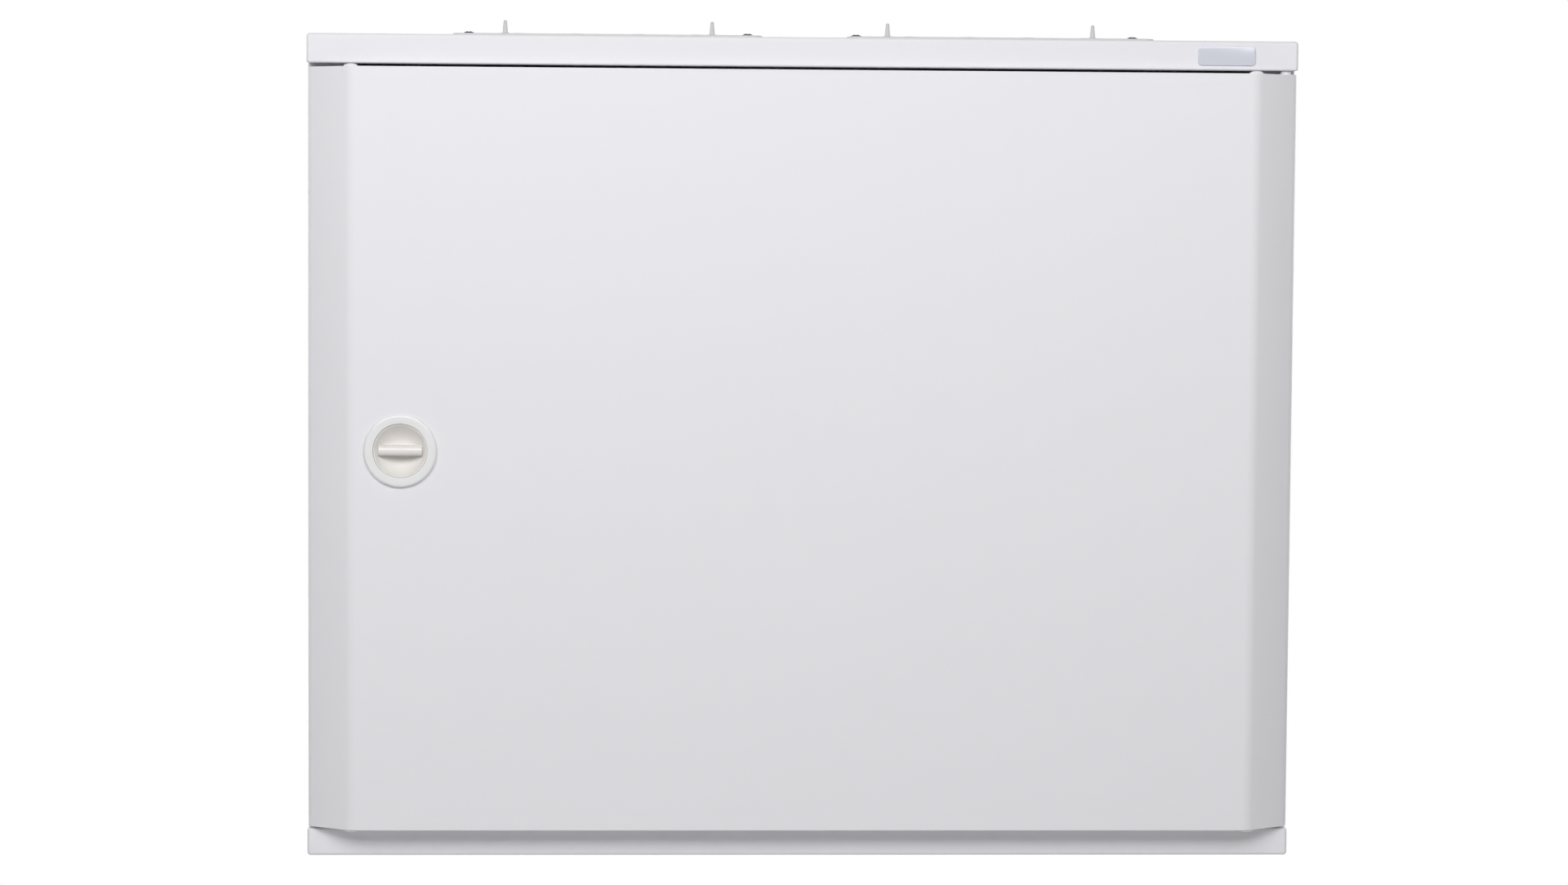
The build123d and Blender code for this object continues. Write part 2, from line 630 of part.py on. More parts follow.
# ---- modular devices --------------------------------------------------------------------------
def case_profile():
    """Side view of a modular device in (y, z): hooks at the back, shoulders, and a nose."""
    back, half, nose = DIN_FRONT + CASE_HOOK, CASE_HEIGHT / 2, NOSE_HEIGHT / 2
    outline = Polygon(
        (back, -half),
        (SHOULDER_Y, -half),
        (SHOULDER_Y, -nose),
        (NOSE_Y, -nose),
        (NOSE_Y, nose),
        (SHOULDER_Y, nose),
        (SHOULDER_Y, half),
        (back, half),
        align=None,
    )
    outline = fillet(outline.vertices().group_by(Axis.X)[0], CASE_R)
    lip = DIN_HEIGHT / 2 + LIP_GAP
    lip_back = DIN_FRONT + DIN_SHEET + LIP_GAP
    seat = Pos((DIN_FRONT + lip_back) / 2, 0) * Rectangle(lip_back - DIN_FRONT, 2 * lip)
    mouth = 2 * (lip - HOOK_OVERLAP)
    throat = Pos((DIN_FRONT + back) / 2, 0) * Rectangle(back - DIN_FRONT, mouth)
    return outline - seat - throat


def module_x(start, count=1):
    """Middle of a device that begins at one module."""
    return ROW_START + (start + count / 2) * MODULE


def make_case(start, count, row, pocket_offset, pocket_width, button=False):
    """Moulded case of a device, with a drum pocket in its nose and terminals at both ends."""
    middle, side = module_x(start, count), count * MODULE / 2 - CASE_SIDE_GAP
    case = beam(case_profile(), (middle - side, middle + side), 0, row)
    pivot_x = middle + pocket_offset
    half = pocket_width / 2 + TOGGLE_SIDE_GAP
    reach = DRUM_R + POCKET_GAP
    case -= axle(PIVOT_Y, row, reach, (pivot_x - half, pivot_x + half))
    mouth = (NOSE_Y - OVERCUT, PIVOT_Y)
    case -= block((pivot_x - half, pivot_x + half), mouth, (row - reach, row + reach))
    pivot_half = half + PIVOT_LENGTH
    case -= axle(PIVOT_Y, row, PIVOT_R + FIT, (pivot_x - pivot_half, pivot_x + pivot_half))
    if button:
        opening = BUTTON_WIDTH + 2 * BUTTON_GAP
        place = Pos(middle + RCD_BUTTON_OFFSET, row)
        outline = place * RectangleRounded(opening, opening, BUTTON_CORNER_R + BUTTON_GAP)
        depth = BUTTON_LENGTH - BUTTON_PROUD + BUTTON_TRAVEL + BUTTON_GAP
        case -= extrude(Plane.XZ.offset(-NOSE_Y) * outline, -depth)
    entry_y = SHOULDER_Y + TERMINAL_SET_BACK
    for i in range(count):
        x = module_x(start + i)
        for end in (-1, 1):
            screw_depth = (SHOULDER_Y - OVERCUT, SHOULDER_Y + TERMINAL_SCREW_DEPTH)
            case -= rod(x, row + end * TERMINAL_SCREW_Z, TERMINAL_SCREW_R, screw_depth)
            entry = Box(TERMINAL_WIDTH, TERMINAL_HEIGHT, 2 * TERMINAL_DEPTH)
            case -= Pos(x, entry_y, row + end * CASE_HEIGHT / 2) * entry
    return case


def make_toggle(pivot_x, row, width):
    """Rocking lever on a drum with two pivots, shown in its upper, switched-on place."""
    lever = Polygon(
        (0, -LEVER_WIDTH / 2),
        (0, LEVER_WIDTH / 2),
        (-LEVER_R, LEVER_TIP_WIDTH / 2),
        (-LEVER_R, -LEVER_TIP_WIDTH / 2),
        align=None,
    )
    lever = fillet(lever.vertices().group_by(Axis.X)[0], LEVER_TIP_R)
    outline = Rot(0, 0, -TOGGLE_ANGLE) * lever + Circle(DRUM_R)
    toggle = beam(outline, (pivot_x - width / 2, pivot_x + width / 2), PIVOT_Y, row)
    half = width / 2 + TOGGLE_SIDE_GAP + PIVOT_LENGTH - FIT
    return toggle + axle(PIVOT_Y, row, PIVOT_R, (pivot_x - half, pivot_x + half))


def make_test_button():
    """Push button of the residual-current device, standing proud of its nose."""
    x = module_x(RCD_START, RCD_MODULES) + RCD_BUTTON_OFFSET
    outline = Pos(x, UPPER_ROW) * RectangleRounded(BUTTON_WIDTH, BUTTON_WIDTH, BUTTON_CORNER_R)
    button = extrude(Plane.XZ.offset(-NOSE_Y + BUTTON_PROUD) * outline, -BUTTON_LENGTH)
    return chamfer(button.faces().sort_by(Axis.Y)[0].edges(), BUTTON_EDGE)


# ---- cover ------------------------------------------------------------------------------------
def make_cover():
    """Touch guard over the devices, folded back at its top and bottom edges."""
    cover = block((-COVER_HALF, COVER_HALF), (COVER_FRONT, COVER_BACK), (COVER_BOTTOM, COVER_TOP))
    for edge, inward in ((COVER_TOP, -1), (COVER_BOTTOM, 1)):
        low, high = sorted((edge, edge + inward * COVER_SHEET))
        depth = (COVER_FRONT, COVER_FRONT + COVER_RETURN)
        cover += block((-COVER_HALF, COVER_HALF), depth, (low, high))
    folds = cover.edges().filter_by(Axis.X).group_by(Axis.Y)[0]
    cover = fillet(folds, COVER_SHEET * FOLD_SHARE)
    through = (COVER_FRONT - OVERCUT, COVER_BACK + OVERCUT)
    for row in (UPPER_ROW, LOWER_ROW):
        slot = (row - SLOT_HEIGHT / 2, row + SLOT_HEIGHT / 2)
        cover -= block((-SLOT_HALF, SLOT_HALF), through, slot)
    for x, z in FASTENERS:
        cover -= rod(x, z, FASTENER_SHANK_R + FIT, through)
    return cover


def make_cover_fasteners():
    """Quarter-turn fasteners: slotted head, shank, and a wing behind the bracket."""
    fasteners = []
    behind = COVER_BACK + BRACKET_SHEET
    for x, z in FASTENERS:
        piece = rod(x, z, FASTENER_HEAD_R, (COVER_FRONT - FASTENER_HEAD, COVER_FRONT))
        piece += rod(x, z, FASTENER_SHANK_R, (COVER_FRONT, behind + 2 * BRACKET_SHEET))
        wing = Pos(x, behind + BRACKET_SHEET, z) * Box(
            FASTENER_WING, 2 * BRACKET_SHEET, FASTENER_WING_WIDTH
        )
        slot = Pos(x, COVER_FRONT - FASTENER_HEAD, z) * Box(
            2 * (FASTENER_HEAD_R + OVERCUT), FASTENER_HEAD, FASTENER_SLOT
        )
        fasteners.append(piece + wing - slot)
    return fasteners


def make_blanking_strip(first, row):
    """Clip-in strip that closes the unused modules of a row, scored at each module."""
    left = ROW_START + first * MODULE + STRIP_GAP
    right = SLOT_HALF - STRIP_GAP
    outer, wall = SLOT_HEIGHT / 2 + STRIP_LIP, SLOT_HEIGHT / 2 - STRIP_GAP
    back = COVER_FRONT + STRIP_DEPTH
    profile = Polygon(
        (COVER_FRONT - STRIP_FACE, -outer),
        (COVER_FRONT, -outer),
        (COVER_FRONT, -wall),
        (COVER_BACK + STRIP_GAP, -wall),
        (COVER_BACK + STRIP_GAP, -wall - STRIP_BARB - STRIP_GAP),
        (back, -wall),
        (back, STRIP_WALL - wall),
        (COVER_FRONT, STRIP_WALL - wall),
        (COVER_FRONT, wall - STRIP_WALL),
        (back, wall - STRIP_WALL),
        (back, wall),
        (COVER_BACK + STRIP_GAP, wall + STRIP_BARB + STRIP_GAP),
        (COVER_BACK + STRIP_GAP, wall),
        (COVER_FRONT, wall),
        (COVER_FRONT, outer),
        (COVER_FRONT - STRIP_FACE, outer),
        align=None,
    )
    strip = beam(profile, (left, right), 0, row)
    for i in range(first + 1, MODULES):
        x = ROW_START + i * MODULE
        groove = Box(STRIP_GROOVE, 2 * STRIP_GROOVE, 3 * outer)
        strip -= Pos(x, COVER_FRONT - STRIP_FACE, row) * groove
    return strip


# ---- terminal bars and comb -------------------------------------------------------------------
def bar_places():
    return [(i - (BAR_COUNT - 1) / 2) * BAR_PITCH for i in range(BAR_COUNT)]


def make_bar(z):
    """Brass bar with a row of cable holes, on two holders."""
    depth = (-BAR_STAND_OFF - BAR_WIDTH, -BAR_STAND_OFF)
    bar = block(
        (-BAR_LENGTH / 2, BAR_LENGTH / 2), depth, (z - BAR_HEIGHT / 2, z + BAR_HEIGHT / 2)
    )
    for x in bar_places():
        bar -= post(x, -BAR_STAND_OFF - BAR_WIDTH / 2, BAR_HOLE_R, (z - BAR_HEIGHT, z + BAR_HEIGHT))
    return bar


def make_bar_screws(z):
    """Clamping screws of a bar, heads forward."""
    face = -BAR_STAND_OFF - BAR_WIDTH
    cutter = Box(3 * BAR_SCREW_R, 2 * BAR_SCREW_SLOT, BAR_SCREW_SLOT)
    screws = []
    for x in bar_places():
        head = rod(x, z, BAR_SCREW_R, (face - BAR_SCREW_HEIGHT, face))
        slot = Pos(x, face - BAR_SCREW_HEIGHT, z) * cutter
        screws.append(head - slot)
    return screws


def make_holders():
    """Insulating saddles on the back wall, which grip the bars at both ends."""
    holders = []
    offset = (BAR_LENGTH - HOLDER_WIDTH) / 2
    jaw = BAR_HEIGHT / 2 + HOLDER_JAW
    for z in (NEUTRAL_Z, EARTH_Z):
        for side in (-1, 1):
            width = (side * offset - HOLDER_WIDTH / 2, side * offset + HOLDER_WIDTH / 2)
            foot = block(
                width, (-SHEET - HOLDER_FOOT_HEIGHT, -SHEET), (z - HOLDER_FOOT, z + HOLDER_FOOT)
            )
            top = -BAR_STAND_OFF - HOLDER_JAW_DEPTH
            column = block(width, (top, -SHEET), (z - jaw, z + jaw))
            seat = block(
                width, (top, -BAR_STAND_OFF), (z - BAR_HEIGHT / 2, z + BAR_HEIGHT / 2)
            )
            holders.append(foot + column - seat)
    return holders


COMB_Y = SHOULDER_Y + TERMINAL_SET_BACK
COMB_TOP = UPPER_ROW - CASE_HEIGHT / 2 - COMB_DROP
COMB_LEFT = module_x(BREAKER_START - 1) - MODULE / 2 + COMB_END_GAP
COMB_RIGHT = module_x(UPPER_USED - 1) + MODULE / 2 - COMB_END_GAP


def make_comb():
    """Copper comb that feeds the breakers of the upper row from below."""
    depth = (COMB_Y - COMB_THICKNESS / 2, COMB_Y + COMB_THICKNESS / 2)
    comb = block((COMB_LEFT, COMB_RIGHT), depth, (COMB_TOP - COMB_HEIGHT, COMB_TOP))
    tip = COMB_TOP + COMB_DROP + TERMINAL_DEPTH - COMB_PIN_GAP
    for module in range(BREAKER_START - 1, UPPER_USED):
        x = module_x(module)
        pin = (x - COMB_PIN_WIDTH / 2, x + COMB_PIN_WIDTH / 2)
        comb += block(pin, depth, (COMB_TOP - COMB_HEIGHT, tip))
    return comb


def make_comb_insulation():
    """Open-topped plastic channel round the comb."""
    inner = COMB_THICKNESS / 2 + COMB_GAP
    outer = inner + COMB_WALL
    floor = COMB_TOP - COMB_HEIGHT
    span = (COMB_LEFT - COMB_WALL, COMB_RIGHT + COMB_WALL)
    channel = block(span, (COMB_Y - outer, COMB_Y + outer), (floor - COMB_WALL, COMB_TOP))
    return channel - block(
        (COMB_LEFT - COMB_GAP, COMB_RIGHT + COMB_GAP),
        (COMB_Y - inner, COMB_Y + inner),
        (floor, COMB_TOP + OVERCUT),
    )


# ---- door and hinge ---------------------------------------------------------------------------
def door_block(inset, back):
    """Solid with the door's outline, smaller by one inset all round and closed at the back."""
    half, fold = DOOR_HALF - inset, DOOR_HALF - BEVEL_RUN
    slope = DOOR_PROUD / BEVEL_RUN
    tilt = hypot(1, slope)
    front = DOOR_FRONT + inset
    # The inner faces of the bevels lie one inset behind the outer ones, square to the slope.
    fold_inner = fold - inset * (tilt - 1) / slope
    shoulder = FRONT + inset * tilt - inset * slope
    outline = Polygon(
        (-half, back),
        (-half, shoulder),
        (-fold_inner, front),
        (fold_inner, front),
        (half, shoulder),
        (half, back),
        align=None,
    )
    solid = extrude(Pos(0, 0, DOOR_BOTTOM + inset) * outline, DOOR_TOP - DOOR_BOTTOM - 2 * inset)
    folds = [e for e in solid.edges().filter_by(Axis.Z) if e.center().Y < back - SHEET]
    solid = fillet(folds, DOOR_FOLD_R - inset)
    ends = solid.faces().sort_by(Axis.Z)
    rims = ends[0].edges() + ends[-1].edges()
    keep = [e for e in rims if e.center().Y < FRONT - SHEET]
    return fillet(keep, DOOR_EDGE_R - inset)


def make_door():
    door = door_block(0, DOOR_BACK) - door_block(SHEET, DOOR_BACK + SHEET)
    door -= rod(LATCH_X, LATCH_Z, SLEEVE_R + FIT, (DOOR_FRONT - OVERCUT, DOOR_INSIDE + OVERCUT))
    for level in (DOOR_TOP, DOOR_BOTTOM):
        door -= post(HINGE_X, HINGE_Y, BUSH_R + FIT, (level - 2 * SHEET, level + 2 * SHEET))
    return door


def make_hinge_pin(level, outward, reach):
    """Pin riveted in a rail's fold and standing in the bush of the door."""
    seat = level + outward * SHEET
    head = sorted((seat, seat + outward * HINGE_PIN_HEAD))
    shank = sorted((seat, level - outward * reach))
    return post(HINGE_X, HINGE_Y, HINGE_PIN_HEAD_R, head) + post(
        HINGE_X, HINGE_Y, HINGE_PIN_R, shank
    )


def make_bush(level, outward, gap):
    """White collared bush in an end of the door, filling the gap to the rail."""
    body = sorted((level, level - outward * BUSH_LENGTH))
    collar = sorted((level, level + outward * (gap - BUSH_RUNNING_GAP)))
    bush = post(HINGE_X, HINGE_Y, BUSH_R, body) + post(HINGE_X, HINGE_Y, BUSH_COLLAR_R, collar)
    reach = (gap + OVERCUT, -BUSH_LENGTH - OVERCUT)
    span = sorted(level + outward * distance for distance in reach)
    return bush - post(HINGE_X, HINGE_Y, HINGE_PIN_R + FIT, span)


# ---- latch ------------------------------------------------------------------------------------
def make_bezel():
    """Fixed ring and sleeve of the latch, through the door."""
    bore = SLEEVE_R - SLEEVE_WALL
    floor = SLEEVE_BACK - SLEEVE_FLOOR
    spindle = SPINDLE_R + KNOB_GAP
    outline = Polygon(
        (bore, BEZEL_FRONT),
        (BEZEL_R, BEZEL_FRONT),
        (BEZEL_R, DOOR_FRONT),
        (SLEEVE_R, DOOR_FRONT),
        (SLEEVE_R, SLEEVE_BACK),
        (spindle, SLEEVE_BACK),
        (spindle, floor),
        (bore, floor),
        align=None,
    )
    rim = outline.vertices().sort_by_distance((BEZEL_R, BEZEL_FRONT))[0]
    return Pos(LATCH_X, 0, LATCH_Z) * revolve(fillet(rim, BEZEL_EDGE_R), Axis.Y)


def make_latch_nut():
    """Ring nut behind the door."""
    depth = (DOOR_INSIDE, DOOR_INSIDE + NUT_HEIGHT)
    nut = hexagon(LATCH_X, LATCH_Z, NUT_R, depth)
    return nut - rod(LATCH_X, LATCH_Z, SLEEVE_R + FIT, (depth[0] - OVERCUT, depth[1] + OVERCUT))


def make_knob():
    """Turning knob: a dished face with a drafted grip bar across it, and the spindle behind."""
    rim = KNOB_R - KNOB_RIM
    ball = (rim**2 + DISH_DEPTH**2) / (2 * DISH_DEPTH)
    halfway = asin(rim / ball) / 2
    dish = ThreePointArc(
        (0, KNOB_INSIDE),
        (ball * sin(halfway), KNOB_INSIDE - ball * (1 - cos(halfway))),
        (rim, KNOB_FRONT),
    )
    body = Polyline(
        (rim, KNOB_FRONT),
        (KNOB_R, KNOB_FRONT),
        (KNOB_R, KNOB_BACK),
        (SPINDLE_R, KNOB_BACK),
        (SPINDLE_R, CAM_FRONT),
        (0, CAM_FRONT),
        (0, KNOB_INSIDE),
    )
    knob = revolve(make_face(Curve() + [dish, body]), Axis.Y)
    root = KNOB_INSIDE + GRIP_ROOT
    height = root - BEZEL_FRONT - GRIP_SET_BACK
    spread = 2 * height * tan(radians(GRIP_DRAFT))
    outline = Rectangle(GRIP_LENGTH + spread, GRIP_WIDTH + spread)
    grip = extrude(Plane.XZ.offset(-root) * outline, height, taper=GRIP_DRAFT)
    grip = fillet(grip.faces().sort_by(Axis.Y)[0].edges(), GRIP_EDGE_R)
    tip = CAM_BACK - CAM_SCREW_LENGTH - OVERCUT
    bore = rod(0, 0, CAM_SCREW_SHANK_R + FIT, (tip, CAM_FRONT))
    return Pos(LATCH_X, 0, LATCH_Z) * (knob + grip - bore)


def make_cam():
    """Flat cam on the spindle, hanging down while the latch is open."""
    blade = Pos(0, -(CAM_REACH - CAM_WIDTH / 2) / 2) * Rectangle(
        CAM_WIDTH, CAM_REACH - CAM_WIDTH / 2
    )
    outline = blade + Circle(CAM_WIDTH / 2) - Circle(CAM_SCREW_SHANK_R + FIT)
    outline += Pos(0, -(CAM_REACH - CAM_WIDTH / 2)) * Rectangle(CAM_TIP_WIDTH, CAM_WIDTH)
    cam = extrude(Plane.XZ.offset(-CAM_BACK) * outline, CAM_THICKNESS)
    return Pos(LATCH_X, 0, LATCH_Z) * cam


def make_cam_screw():
    """Screw that holds the cam on the spindle, from behind."""
    head = rod(LATCH_X, LATCH_Z, CAM_SCREW_R, (CAM_BACK, CAM_BACK + CAM_SCREW_HEAD))
    shank = rod(LATCH_X, LATCH_Z, CAM_SCREW_SHANK_R, (CAM_BACK - CAM_SCREW_LENGTH, CAM_BACK))
    return head + shank


# ---- assembly ---------------------------------------------------------------------------------
def fixed_parts():
    """Everything that stays on the wall."""
    parts = {
        "back_box": make_box(),
        "badge": make_badge(),
        "membrane_plate_left": make_membrane_plate(-1),
        "membrane_plate_right": make_membrane_plate(1),
        "membrane_plate_screws": make_plate_screws(),
        "door_buffers": make_buffers(),
        "box_earth_stud": make_earth_stud(INNER_HALF - BOX_EARTH_INSET_X, BOX_EARTH_Z, -SHEET, -1),
        "hinge_pin_top": make_hinge_pin(OPENING_TOP, 1, DOOR_GAP_TOP + HINGE_PIN_REACH),
        "hinge_pin_bottom": make_hinge_pin(OPENING_BOTTOM, -1, DOOR_GAP_BOTTOM + HINGE_PIN_REACH),
        "carrier_rail_left": make_carrier(-1),
        "carrier_rail_right": make_carrier(1),
        "din_rail_upper": make_din_rail(UPPER_ROW),
        "din_rail_lower": make_din_rail(LOWER_ROW),
        "carrier_screws": make_carrier_screws(),
        "cover_plate": make_cover(),
        "cover_fasteners": make_cover_fasteners(),
        "blanking_strip_upper": make_blanking_strip(UPPER_USED, UPPER_ROW),
        "blanking_strip_lower": make_blanking_strip(LOWER_BREAKER_COUNT, LOWER_ROW),
        "neutral_bar": make_bar(NEUTRAL_Z),
        "neutral_bar_screws": make_bar_screws(NEUTRAL_Z),
        "earth_bar": make_bar(EARTH_Z),
        "earth_bar_screws": make_bar_screws(EARTH_Z),
        "terminal_holders": make_holders(),
        "phase_comb": make_comb(),
        "comb_insulation": make_comb_insulation(),
    }
    return parts


def door_parts():
    """What swings with the door, and the turning parts of its latch."""
    bushes = [
        make_bush(DOOR_TOP, 1, DOOR_GAP_TOP),
        make_bush(DOOR_BOTTOM, -1, DOOR_GAP_BOTTOM),
    ]
    stud_x, stud_z = DOOR_HALF - BEVEL_RUN - DOOR_EARTH_INSET_X, DOOR_BOTTOM + DOOR_EARTH_INSET_Z
    return {
        "door": make_door(),
        "hinge_bushes": bushes,
        "door_earth_stud": make_earth_stud(stud_x, stud_z, DOOR_INSIDE, 1),
        "latch_bezel": make_bezel(),
        "latch_nut": make_latch_nut(),
        "latch_knob": make_knob(),
        "latch_cam": make_cam(),
        "latch_cam_screw": make_cam_screw(),
    }


def device_parts():
    """Main switch, residual-current device and breakers, each with its moving lever."""
    main_x = module_x(0, MAIN_SWITCH_MODULES)
    rcd_x = module_x(RCD_START, RCD_MODULES)
    parts = {
        "main_switch_case": make_case(0, MAIN_SWITCH_MODULES, UPPER_ROW, 0, MAIN_TOGGLE_WIDTH),
        "main_switch_toggle": make_toggle(main_x, UPPER_ROW, MAIN_TOGGLE_WIDTH),
        "rcd_case": make_case(
            RCD_START, RCD_MODULES, UPPER_ROW, RCD_TOGGLE_OFFSET, RCD_TOGGLE_WIDTH, button=True
        ),
        "rcd_toggle": make_toggle(rcd_x + RCD_TOGGLE_OFFSET, UPPER_ROW, RCD_TOGGLE_WIDTH),
        "rcd_test_button": make_test_button(),
    }
    places = [(BREAKER_START + i, UPPER_ROW) for i in range(UPPER_BREAKER_COUNT)]
    places += [(i, LOWER_ROW) for i in range(LOWER_BREAKER_COUNT)]
    for number, (module, row) in enumerate(places, 1):
        parts[f"mcb_case_{number}"] = make_case(module, 1, row, 0, TOGGLE_WIDTH)
        parts[f"mcb_toggle_{number}"] = make_toggle(module_x(module), row, TOGGLE_WIDTH)
    return parts


def main():
    os.makedirs("parts", exist_ok=True)
    for name, shape in {**fixed_parts(), **door_parts(), **device_parts()}.items():
        solids = shape if isinstance(shape, list) else shape.solids()
        solids = [s for item in solids for s in item.solids()]
        piece = Compound(label=name, children=solids) if len(solids) > 1 else solids[0]
        piece.label = name
        export_step(piece, f"parts/{name}.step")


main()
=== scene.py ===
import json
import logging
import math
from collections.abc import Callable, Iterable
from dataclasses import dataclass, field
from enum import Enum

import bmesh
import bpy
from mathutils import Matrix, Vector


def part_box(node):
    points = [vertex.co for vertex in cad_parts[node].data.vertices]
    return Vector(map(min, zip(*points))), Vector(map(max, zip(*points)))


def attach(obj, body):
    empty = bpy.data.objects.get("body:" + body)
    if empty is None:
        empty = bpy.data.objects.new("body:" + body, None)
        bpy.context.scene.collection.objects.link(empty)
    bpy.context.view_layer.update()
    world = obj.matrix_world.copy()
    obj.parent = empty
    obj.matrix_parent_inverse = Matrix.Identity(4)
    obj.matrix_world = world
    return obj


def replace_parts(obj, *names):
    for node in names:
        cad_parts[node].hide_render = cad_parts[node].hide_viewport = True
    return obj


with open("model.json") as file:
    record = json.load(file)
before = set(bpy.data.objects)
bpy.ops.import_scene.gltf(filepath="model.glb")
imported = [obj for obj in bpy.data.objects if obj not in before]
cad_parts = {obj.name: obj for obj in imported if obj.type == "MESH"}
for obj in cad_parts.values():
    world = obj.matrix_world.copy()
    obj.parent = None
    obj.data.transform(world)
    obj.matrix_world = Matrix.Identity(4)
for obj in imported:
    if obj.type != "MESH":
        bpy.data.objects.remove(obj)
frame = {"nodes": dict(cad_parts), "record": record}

LOG = logging.getLogger("load_center")
MM = 0.001
TINY = 1e-6  # metres within which two places count as the same
BREAKERS = 10
Point = tuple[float, float, float]
Colour = tuple[float, float, float]
Outline = list[tuple[float, float]]
Verts = list[bmesh.types.BMVert]
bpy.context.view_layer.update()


class Along(Enum):
    """Direction of the axis about which an outline is turned."""

    Y = 1
    Z = 2

    def axis(self) -> Vector:
        """Unit vector of this direction."""
        return Vector([float(i == self.value) for i in range(3)])

    def spoke(self, radius: float, distance: float) -> Vector:
        """Offset of an outline's point from the centre before it is turned.

        Args:
            radius: Distance from the axis.
            distance: Distance along the axis.

        Returns:
            The offset.
        """
        across = Vector((1, 0, 0)) if self is Along.Z else Vector((0, 0, 1))
        return across * radius + self.axis() * distance


class Grain(Enum):
    """Kind of fine relief that a finish has."""

    PEEL = "orange peel of a baked powder coat"
    SPARK = "fine texture of a spark-eroded mould"
    DRAWN = "streaks of rolled or drawn metal"
    SMOOTH = "polished mould with slight sinks"


class Signal:
    """One shader socket. Python's operators on it add Math nodes."""

    def __init__(self, graph: "Graph", socket: bpy.types.NodeSocket) -> None:
        """Keep the graph and the socket.

        Args:
            graph: Graph that the socket belongs to.
            socket: Output socket of a node.
        """
        self.graph = graph
        self.socket = socket

    def _math(self, operation: str, first: object, second: object) -> "Signal":
        """Result of a Math node.

        Args:
            operation: Operation of the Math node.
            first: Value or signal of its first socket.
            second: Value or signal of its second socket.

        Returns:
            The node's output.
        """
        return self.graph.node("ShaderNodeMath", {"operation": operation}, {0: first, 1: second})

    def __add__(self, other: object) -> "Signal":
        """Sum."""
        return self._math("ADD", self, other)

    def __sub__(self, other: object) -> "Signal":
        """Difference."""
        return self._math("SUBTRACT", self, other)

    def __mul__(self, other: object) -> "Signal":
        """Product."""
        return self._math("MULTIPLY", self, other)


class Graph:
    """Node tree of one material or of the world, with its output ready."""

    def __init__(self, name: str) -> None:
        """Start an empty material.

        Args:
            name: Name of the material.
        """
        self.material = bpy.data.materials.new(name)
        self.material.use_nodes = True
        self._start(self.material.node_tree, "ShaderNodeOutputMaterial")

    @classmethod
    def on(cls, tree: bpy.types.NodeTree, output: str) -> "Graph":
        """Graph on a node tree that exists.

        Args:
            tree: The tree, which is emptied.
            output: Type of its output node.

        Returns:
            The new graph.
        """
        graph = cls.__new__(cls)
        graph._start(tree, output)
        return graph

    def _start(self, tree: bpy.types.NodeTree, output: str) -> None:
        """Empty the tree and give it an output node.

        Args:
            tree: The tree.
            output: Type of its output node.
        """
        self.tree = tree
        self.tree.nodes.clear()
        self.output = self.tree.nodes.new(output)

    def node(self, kind: str, settings: dict[str, object], inputs: dict[object, object],
             output: int | str = 0) -> Signal:
        """Add one node.

        Args:
            kind: Type name of the node.
            settings: Attributes, set before the sockets.
            inputs: Values or signals by socket name or number.
            output: Socket to return.

        Returns:
            The chosen output of the node.
        """
        made = self.tree.nodes.new(kind)
        for key, value in settings.items():
            setattr(made, key, value)
        for key, value in inputs.items():
            if isinstance(value, Signal):
                self.tree.links.new(value.socket, made.inputs[key])
            else:
                made.inputs[key].default_value = value
        return Signal(self, made.outputs[output])

    def place(self) -> Signal:
        """Object coordinates, in metres."""
        return self.node("ShaderNodeTexCoord", {}, {}, "Object")

    def noise(self, size: float, stretch: Point = (1.0, 1.0, 1.0), detail: float = 2.0) -> Signal:
        """Noise of one feature size.

        Args:
            size: Size of a feature in metres.
            stretch: Factor by which a feature is shorter along each axis.
            detail: Octaves.

        Returns:
            The noise's value.
        """
        spot = self.node("ShaderNodeMapping", {}, {"Vector": self.place(), "Scale": stretch})
        return self.node("ShaderNodeTexNoise", {}, {"Vector": spot, "Scale": 1 / size, "Detail": detail})

    def mix(self, factor: object, low: Colour, high: Colour) -> Signal:
        """Colour between two others.

        Args:
            factor: Signal from 0 to 1.
            low: Colour at 0.
            high: Colour at 1.

        Returns:
            The mixed colour.
        """
        inputs = {"Factor": factor, 6: (*low, 1.0), 7: (*high, 1.0)}
        return self.node("ShaderNodeMix", {"data_type": "RGBA"}, inputs, 2)

    def bump(self, height: Signal, depth: float, below: Signal | None = None) -> Signal:
        """Relief.

        Args:
            height: Height from 0 to 1.
            depth: Height of the relief in metres.
            below: Normal that this relief is added to.

        Returns:
            The bumped normal.
        """
        inputs: dict[object, object] = {"Height": height, "Distance": depth, "Strength": 1.0}
        if below is not None:
            inputs["Normal"] = below
        return self.node("ShaderNodeBump", {}, inputs)


